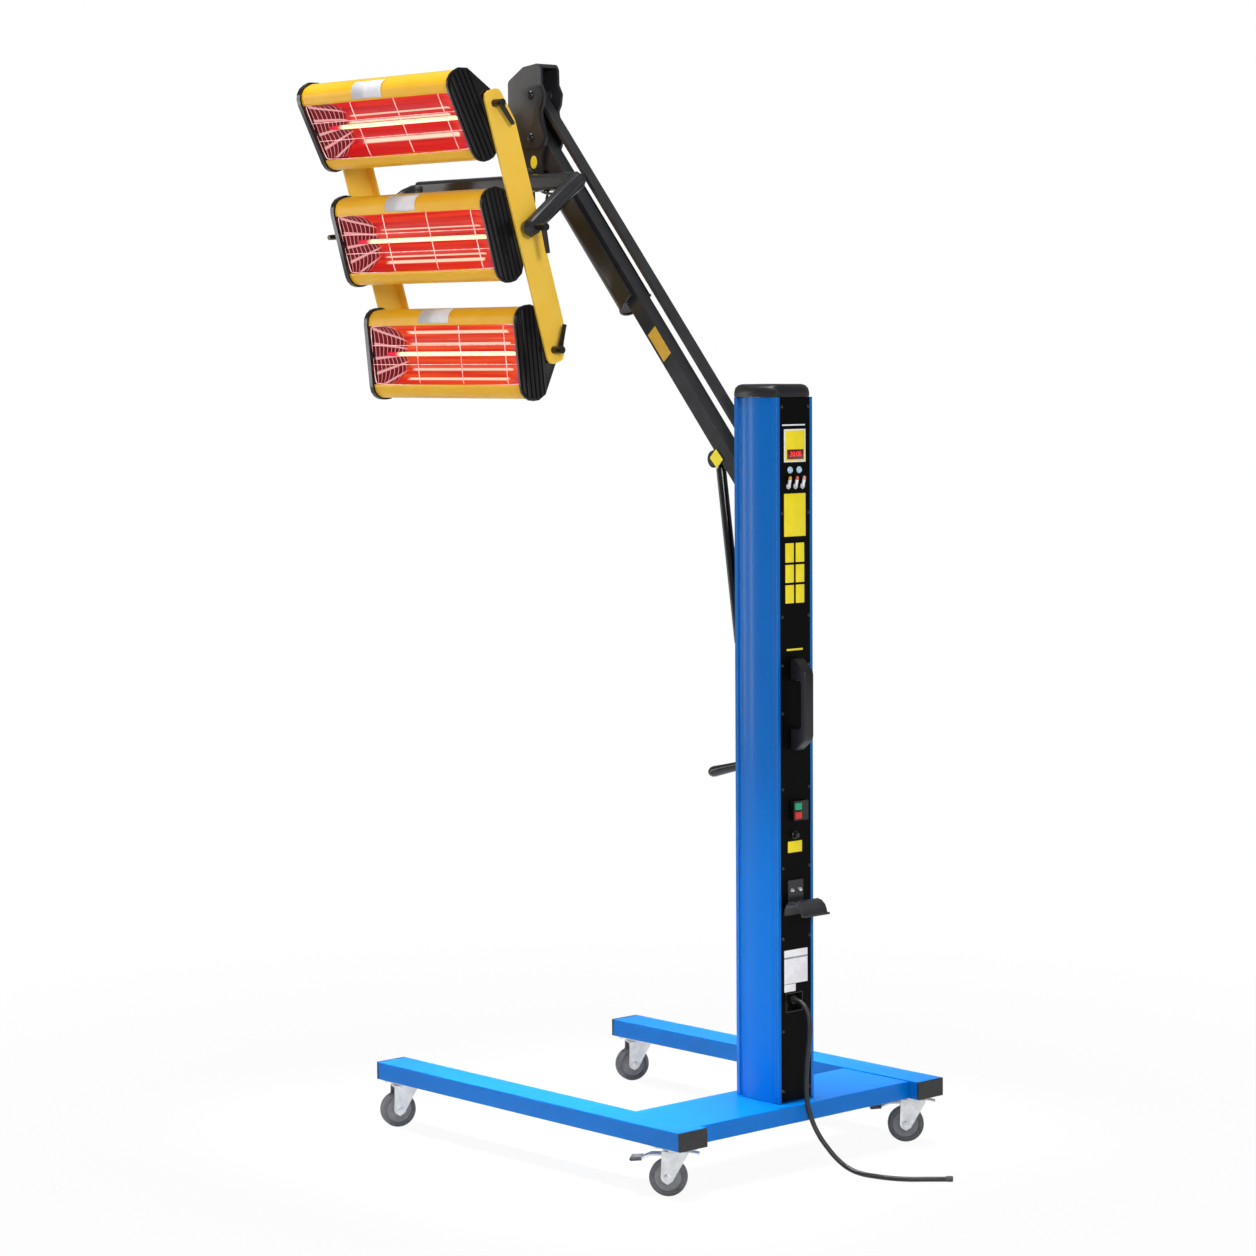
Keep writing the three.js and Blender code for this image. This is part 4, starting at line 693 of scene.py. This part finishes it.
# The panel's face along Y, and how far its plates are sunk into it.
FACE, SUNK = 169.0, 0.2
DIGIT_HEIGHT, DIGIT_RELIEF = 0.0155, 0.0002
ROUND_KEY = [(7.4, -0.2), (7.4, 1.2), (6.6, 1.8), (6.1, 1.8), (6.1, 3), (5.2, 4), (2.5, 4.5)]
TOGGLE_NUT = [(7.2, -0.2), (7.2, 2.4), (6.4, 3.2), (4.4, 3.2), (4.2, 4.4), (2.8, 4.6)]
TOGGLE_BAT = [(2.4, 0), (3.0, 4), (3.7, 13), (3.4, 15)]
TOGGLE_TIP = [(3.6, 0), (3.8, 3), (3.2, 6), (1.8, 7.6)]
TOGGLES = ((21, AMBER_TIP), (0, ORANGE_TIP), (-21, PINK_TIP))
TOGGLE_LEAN = (0, 0.2, 0.98)
FUSE_HOLDER = [(9, -0.2), (9, 1.6), (8, 2.4), (6.6, 2.4), (6.2, 9), (5.4, 10), (3, 10)]
YELLOW_KEY_ROWS, YELLOW_KEY_COLUMNS = ((1305, 1346), (1262, 1300), (1218, 1257)), ((-26, -1), (5, 30))
PANEL_SCREW = [(3.9, 0), (3.9, 0.7), (3.3, 1.7), (2.1, 2.2), (1.5, 1.6), (1.2, 1.0)]
SCREW_ASIDE = 39.8
SCREW_HEIGHTS = (1635, 1410, 1190, 1086, 984, 822, 652, 500, 300, 170)


def panel_plate(name, left, right, bottom, top, proud, finish, edge_mm, slot):
    """A thin plate on the panel, between heights and sides of the drawing, that stands proud of its face."""
    low, high = spot(left, FACE - SUNK, bottom), spot(right, FACE + proud, top)
    piece = bevelled_box((low + high) / 2, high - low, edge_mm)
    smooth(piece, PLATE_EDGE)
    settle(piece, name, finish, "stand")


def on_panel(x, z, proud=0.0, axis=REARWARD):
    """The place of a turned piece on the panel."""
    return aimed(spot(x, FACE + proud, z), axis)


panel_plate("panel_line", -30, 38, 1594.6, 1597.6, 0.5, WHITE_VINYL, 0.15, "wire")
panel_plate("display_frame", -31, 33, 1517.5, 1587.5, 1.2, WHITE_VINYL, 0.5, "wire")
panel_plate("display_plate", -28, 30, 1520.5, 1584.5, 1.8, YELLOW_VINYL, 0.4, "yellow_paint")
panel_plate("display_window", -24, 25, 1523.5, 1544.5, 2.6, RED_WINDOW, 0.4, "red_key")
deselect()
bpy.ops.object.text_add(location=(0, 0, 0))
digits = bpy.context.object
digits.data.body = "30:00"
digits.data.align_x = "CENTER"
digits.data.align_y = "CENTER"
digits.data.size = DIGIT_HEIGHT
digits.data.extrude = DIGIT_RELIEF
bpy.ops.object.convert(target="MESH")
digits = bpy.context.object
upright = Matrix.Rotation(math.pi, 4, "Z") @ Matrix.Rotation(math.pi / 2, 4, "X")
placed(digits, Matrix.Translation(spot(0.5, FACE + 2.7, 1534)) @ upright)
settle(digits, "display_digits", LED_RED, "stand")
turned_copies(ROUND_KEY, 24, [
    (f"round_key_{i}", on_panel(x, 1501), PALE_LENS, "stand") for i, x in enumerate((15, -12))
])
nut, bat, tip = drawn_round(TOGGLE_NUT, 6), drawn_round(TOGGLE_BAT, 16), drawn_round(TOGGLE_TIP, 16)
for i, (x, colour) in enumerate(TOGGLES):
    copy_of(nut, on_panel(x, 1467), f"toggle_nut_{i}", ZINC_PLATE, "stand")
    copy_of(bat, on_panel(x, 1466, 3.2, TOGGLE_LEAN), f"toggle_bat_{i}", WHITE_VINYL, "stand")
    copy_of(tip, on_panel(x, 1480.5, 6.2, TOGGLE_LEAN), f"toggle_tip_{i}", colour, "stand")
discard(nut, bat, tip)
panel_plate("guide_plate", -31, 33, 1360, 1451, 0.8, YELLOW_VINYL, 0.3, "yellow_paint")
panel_plate("guide_plate_film", -28, 30, 1363, 1448, 1.1, YELLOW_VINYL, 0.2, "yellow_paint")
for row, heights in enumerate(YELLOW_KEY_ROWS):
    for column, ends in enumerate(YELLOW_KEY_COLUMNS):
        panel_plate(f"yellow_key_{row}_{column}", *ends, *heights, 1.6, YELLOW_VINYL, 0.7, "yellow_paint")
panel_plate("strip_print", -22, 26, 1117, 1121, 0.3, YELLOW_VINYL, 0.1, "yellow_paint")
panel_plate("fuse_label", -18, 24, 684, 708, 0.5, YELLOW_VINYL, 0.15, "yellow_paint")
turned("fuse_holder", FUSE_HOLDER, 24, on_panel(3, 721), BLACK_ABS, "stand")
panel_plate("plain_plate", -34, 36, 401, 474, 0.5, WHITE_VINYL, 0.15, "wire")
panel_plate("plain_plate_line", -34, 36, 455, 459, 0.8, GREY_PRINT, 0.1, "zinc")
panel_plate("plain_plate_tag", 2, 36, 384, 400, 0.5, WHITE_VINYL, 0.15, "wire")
turned_copies(PANEL_SCREW, 20, [
    (f"panel_screw_{side}_{z}", on_panel(way * SCREW_ASIDE, z), BLACK_COAT, "stand")
    for side, way in SIDES for z in SCREW_HEIGHTS
])
# The two screws of the cord's saddle are the same shape, larger, on its flange.
turned_copies(PANEL_SCREW, 20, [
    (f"hook_screw_{x + 9}", on_panel(x, 603, 3.3) @ Matrix.Scale(1.4, 4), ZINC_PLATE, "stand")
    for x in (15, -9)
])

# ---------------------------------------------------------------- arm

SLOPE = math.radians(49)
BEAM_PIVOT = Vector((0, 80, 1406.4))


def on_beam():
    """From a place along the beam, in metres from its pivot on the column, to the frame."""
    return Matrix.Translation(spot(*BEAM_PIVOT)) @ Matrix.Rotation(-SLOPE, 4, "X")


dressed("lower_beam", BLACK_COAT, 3.0, segments=3)
dressed("upper_link", BLACK_COAT, 2.4, segments=3)
dressed("beam_cover", SATIN_ABS, 1.2)
dressed("gas_cylinder", GLOSS_ABS, 1.0)
dressed("gas_rod", CHROME, 0.6)
dressed("arm_head", BLACK_COAT, 3.5, segments=3)
dressed("lamp_fork", BLACK_COAT, 3.0, segments=3)

# A thin plain plate on the beam's side.
LABEL_EDGE = 0.2
label = bevelled_box((0, 0, 0), (0.0006, 0.078, 0.03), LABEL_EDGE)
placed(label, on_beam() @ Matrix.Translation((0.0177, -0.479, 0.002)))
settle(label, "beam_label", AMBER_VINYL, "lower_arm")

# A rolled lip runs round the open end of the cover: down one side, round below and up the other. In metres
# along and across the beam.
BEAM_LENGTH, COVER_START, COVER_LENGTH = 1.1036, 0.15, 0.34
LIP_RADIUS, LIP_MIDDLE = 0.0293, -0.0225
lip_end = -BEAM_LENGTH + COVER_START + COVER_LENGTH
lip_side = [(LIP_RADIUS, lip_end, z) for z in (0.0135, -0.005, LIP_MIDDLE)]
lip_points = [*lip_side]
for i in range(1, 8):
    turn = math.pi * i / 8
    lip_points.append((LIP_RADIUS * math.cos(turn), lip_end, LIP_MIDDLE - LIP_RADIUS * math.sin(turn)))
lip_points += [(-x, y, z) for x, y, z in reversed(lip_side)]
wire("beam_cover_lip", lip_points, 3.2, GLOSS_ABS, "lower_arm", matrix=on_beam(), sides=4)

# The head's pins end in polished domes on its raised pads, and a plain yellow plate sits below them.
HEAD_PINS = (("lower", (-644.03, 2239.3)), ("upper", (-644.03, 2334.7)))
PAD_FACE, HEAD_FACE, FORK_FACE = 31.8, 27.8, 82.5
PIN_DOME = [(10.5, 0), (10.5, 1.2), (9.6, 3.4), (7.2, 5.4), (3.6, 6.6), (1.2, 6.9)]
HEAD_PLATE = [(11, 0), (11, 0.6), (10.4, 1.0), (6, 1.1)]
FORK_NUT = [(14, 0), (14, 1.6), (13.4, 2.2), (10.4, 2.2), (10.4, 7.4), (9.6, 8.6), (4, 8.8)]
turned_copies(PIN_DOME, 32, [
    (f"head_pin_{name}_{side}", aimed(spot(way * PAD_FACE, *pin), (way, 0, 0)), GLOSS_ABS, "head")
    for name, pin in HEAD_PINS for side, way in SIDES
])
# The plate is an oval: a round one stretched.
oval_place = aimed(spot(HEAD_FACE, -638, 2183), RIGHTWARD) @ Matrix.Diagonal((1.35, 1, 1, 1))
turned("head_plain_plate", HEAD_PLATE, 32, oval_place, YELLOW_VINYL, "head")
nut_place = aimed(spot(FORK_FACE, -660.03, 2148), RIGHTWARD)
turned("fork_pivot_nut", FORK_NUT, 6, nut_place, BLACK_COAT, "head")

# The gas spring's upper pin sits in two rounded ears on the beam, with a plain yellow plate on the right one.
EAR_PIN, EAR_START = (-59.99, 1520.03), 17.6
EAR = [(19, 0), (19, 2.2), (18.2, 3.0), (12, 3.0)]
turned_copies(EAR, 40, [
    (f"gas_ear_{side}", aimed(spot(way * EAR_START, *EAR_PIN), (way, 0, 0)), BLACK_COAT, "lower_arm")
    for side, way in SIDES
])
diamond = bevelled_box((0, 0, 0), (0.0008, 0.027, 0.031), LABEL_EDGE)
placed(diamond, Matrix.Translation(spot(20.8, -50, 1521)) @ Matrix.Rotation(math.radians(45), 4, "X"))
settle(diamond, "gas_ear_plain_plate", YELLOW_VINYL, "lower_arm")

# Two thin black leads leave the head's underside: one loops up to the fork's flat run, one enters its near
# leg.
LEADS = {
    "lead_loop": [
        (30, -637, 2122), (32, -634, 2098), (38, -626, 2072), (46, -606, 2058),
        (52, -584, 2064), (56, -566, 2088), (58, -556, 2112), (60, -550, 2134),
    ],
    "lead_short": [(28, -622, 2122), (63, -560, 2110), (99, -490, 2104), (127, -450, 2097)],
}
LEAD_RADIUS = 3.0
for name, knots in LEADS.items():
    path = [spot(*knot) for knot in knots]
    lead = wire(name, path, LEAD_RADIUS, CABLE_RUBBER, None, sides=4)
    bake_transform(lead)

# ---------------------------------------------------------------- lamps

# The frame's pivot, its lean from upright, and the step from one cassette to the next along it.
PIVOT = Vector((200, 0, 2026.8))
LEAN = math.radians(17.2)
STEP = Vector((281.6 * math.sin(LEAN), 0, 281.6 * math.cos(LEAN)))
# A cassette's two ends along Y.
NEAR, FAR = -487.5, -1012.5
# Name, place in steps from the pivot, and tilt in degrees.
LAMPS = [("top", 1, 26.8), ("middle", 0, 16.0), ("bottom", -1, 6.1)]
# Painted reflections of the tube on each reflector: place across from the lower rim, half width, start and
# brightness.
PAINTED_TUBE_IMAGES = {
    "top": [(0.641, 0.018, 0.17, 0.8), (0.539, 0.022, 0.16, 1.0), (0.164, 0.042, 0.2, 1.0)],
    "middle": [(0.663, 0.016, 0.18, 0.8), (0.182, 0.018, 0.17, 0.85), (0.102, 0.028, 0.19, 1.0)],
    "bottom": [
        (0.867, 0.036, 0.17, 1.0), (0.663, 0.022, 0.17, 0.9),
        (0.214, 0.026, 0.17, 0.9), (0.064, 0.024, 0.17, 1.0),
    ],
}
PAINTED_IMAGE_COLOUR = "#FFDDC0"
# The painted red glow on each reflector's walls, from its darker to its lighter bands.
PAINTED_GLOW_WALLS = {"top": ("#BE0A14", "#E01C18"), "middle": ("#C00E0C", "#E8341A"), "bottom": ("#D0180A", "#F0521A")}


def on_lamp(place, tilt):
    """From a cassette drawn about its own pivot, in metres, to the frame."""
    middle = spot(*(PIVOT + STEP * place))
    middle.y = ORIGIN.y
    return Matrix.Translation(middle) @ Matrix.Rotation(math.radians(tilt), 4, "Y")


def pick(piece, chosen):
    """Enters edit mode with the chosen vertices selected."""
    bpy.ops.object.mode_set(mode="OBJECT")
    for group in (piece.data.polygons, piece.data.edges):
        group.foreach_set("select", [False] * len(group))
    piece.data.vertices.foreach_set("select", [i in chosen for i in range(len(piece.data.vertices))])
    bpy.ops.object.mode_set(mode="EDIT")


def pressed_sheet(rows, stations, rim):
    """A sheet from a grid. Rows are (x, z) across it. Stations are (y, lift), and lift scales the depth below
    the rim. All in mm about the lamp's pivot."""
    deselect()
    bpy.ops.mesh.primitive_grid_add(x_subdivisions=len(rows) - 1, y_subdivisions=len(stations) - 1, size=2)
    piece = bpy.context.object
    bpy.ops.object.mode_set(mode="EDIT")
    bpy.ops.mesh.select_mode(type="VERT")
    for i, (x, z) in enumerate(rows):
        pick(piece, {i + j * len(rows) for j in range(len(stations))})
        bpy.ops.transform.translate(value=(x / 1000 - (2 * i / (len(rows) - 1) - 1), 0, z / 1000))
    for j, (y, lift) in enumerate(stations):
        pick(piece, {i + j * len(rows) for i in range(len(rows))})
        bpy.ops.transform.resize(value=(lift, 1, 1), center_override=(rim / 1000, 0, 0))
        bpy.ops.transform.translate(value=(0, y / 1000 - (2 * j / (len(stations) - 1) - 1), 0))
    bpy.ops.object.mode_set(mode="OBJECT")
    bpy.ops.object.shade_smooth()
    return piece


# The reflector, in mm: its rim, the depth of its two troughs, how high the ridge between them stands over
# their floor, its half width, the length of each sloping end, and the gap that it leaves at each end.
RIM, DEPTH, RIDGE, HALF, END_SLOPE, END_GAP = 83, 36, 12, 66, 80, 0.8
ROW_COUNT, STATION_COUNT = 25, 33
rows = []
for i in range(ROW_COUNT):
    z = HALF * (2 * i / (ROW_COUNT - 1) - 1)
    wave = abs(math.sin(math.pi * z / HALF))
    inside = abs(z) < HALF / 2 - 0.1
    rows.append((RIM - DEPTH + RIDGE * (1 - wave) if inside else RIM - DEPTH * wave**0.7, z))
stations = []
for j in range(STATION_COUNT):
    y = FAR + END_GAP + (NEAR - FAR - 2 * END_GAP) * j / (STATION_COUNT - 1)
    stations.append((y, min(1.0, (y - FAR + 2) / END_SLOPE, (NEAR - y + 2) / END_SLOPE)))
reflector = pressed_sheet(rows, stations, RIM)

# A plain label bends over the shell's upper corner, from 186 to 292 mm from its far end.
LABEL_ROWS = [(93.4, 73), (93.2, 78), (91.4, 85.5), (87.4, 93), (81.5, 98.8), (74.5, 102.2), (66, 103)]
label_patch = pressed_sheet(LABEL_ROWS, [(FAR + 186, 1), (FAR + 292, 1)], 93)
only(label_patch)
film = label_patch.modifiers.new("film", "SOLIDIFY")
film.thickness = 0.0003
film.offset = 0
bpy.ops.object.modifier_apply(modifier=film.name)

TUBE = [(2.2, 0), (3.4, 2), (3.4, 9), (4.9, 14), (4.9, 497), (3.4, 502), (3.4, 509), (2.2, 511)]
TUBE_X, TUBE_INSET = 0.068, 7
quartz = placed(drawn_round(TUBE, 24), aimed((TUBE_X, (NEAR - TUBE_INSET) / 1000, 0), (0, -1, 0)))

# The guard, in mm about the lamp's pivot: its frame's half width, place and corners, the radii of the frame's
# and the long wires, the long wires' place, and the cross wires' places as shares of the guard's length.
REACH, GUARD_X, CORNER = 66.1, 88.1, 4
FRAME_WIRE, LONG_WIRE = 1.1, 0.8
LONG_WIRE_X, LONG_WIRE_ASIDE = 88.3, 22.07
CROSS_WIRE_SHARES = (0.31, 0.61, 0.91)
CROSS_WIRE = [(86.2, -65.5), (87.1, -60), (87.1, 0), (87.1, 60), (86.2, 65.5)]
guard_low, guard_high = FAR + 2, NEAR - 2


def guard_wire(name, points, radius_mm, cyclic=False):
    """One wire of the guard, through points in mm about the lamp's pivot."""
    return wire(name, [Vector(point) / 1000 for point in points], radius_mm, PAINTED_GLOW_WIRE, cyclic=cyclic)


guard_pieces = []
for share in CROSS_WIRE_SHARES:
    y = guard_low + (guard_high - guard_low) * share
    guard_pieces.append(guard_wire("cross_wire", [(x, y, z) for x, z in CROSS_WIRE], FRAME_WIRE))
for z in (-LONG_WIRE_ASIDE, LONG_WIRE_ASIDE):
    run = [(LONG_WIRE_X, y, z) for y in (guard_low, (guard_low + guard_high) / 2, guard_high)]
    guard_pieces.append(guard_wire("long_wire", run, LONG_WIRE))
loop = [
    (guard_low + CORNER, -REACH), (guard_low, CORNER - REACH),
    (guard_low, REACH - CORNER), (guard_low + CORNER, REACH),
    (guard_high - CORNER, REACH), (guard_high, REACH - CORNER),
    (guard_high, CORNER - REACH), (guard_high - CORNER, -REACH),
]
guard_pieces.append(guard_wire("frame_wire", [(GUARD_X, y, z) for y, z in loop], FRAME_WIRE, cyclic=True))
guard = joined(guard_pieces)

for name, place, tilt in LAMPS:
    body = f"cassette_{name}"
    where = on_lamp(place, tilt)
    dressed(f"lamp_{name}_housing", SHELL_COAT, 0.5)
    for end in ("near", "far"):
        dressed(f"lamp_{name}_{end}_cap", GLOSS_ABS, 1.5, segments=3)
    shine = painted_mirror_glow(f"reflector_painted_glow_{name}", PAINTED_GLOW_WALLS[name], PAINTED_IMAGE_COLOUR, PAINTED_TUBE_IMAGES[name])
    sheet = copy_of(reflector, where, f"lamp_{name}_reflector", shine, body)
    tube = copy_of(quartz, where, f"lamp_{name}_tube", QUARTZ, body)
    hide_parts(f"lamp_{name}_element")
    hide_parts(f"lamp_{name}_element")
    # The guard's wires carry a painted glow that stands for the lamp's light on them.
    wires = copy_of(guard, where, f"lamp_{name}_guard", PAINTED_GLOW_WIRE, body)
    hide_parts(f"lamp_{name}_grille")
    copy_of(label_patch, where, f"lamp_{name}_label", WHITE_VINYL, body)
discard(reflector, quartz, guard, label_patch)

for bar in ("near_bar", "far_bar"):
    dressed(bar, YELLOW_COAT, 1.2)
for lever in ("tilt_lever", "top_lever", "bottom_lever"):
    dressed(lever, BLACK_ABS, 1.0)
# The far leg's clamp lever is the near one, a fifth larger and turned about.
near_hub, far_hub = spot(200, -427.5, 2026.8), spot(200, -1066, 2026.8)
swing = Matrix.Rotation(math.radians(-73.7), 4, "Y") @ Matrix.Rotation(math.pi, 4, "Z") @ Matrix.Scale(1.2, 4)
far_place = Matrix.Translation(far_hub) @ swing @ Matrix.Translation(-near_hub)
near_lever = bpy.data.objects["tilt_lever_shell"]
copy_of(near_lever, far_place, "far_clamp_lever", BLACK_ABS, "array_fork")
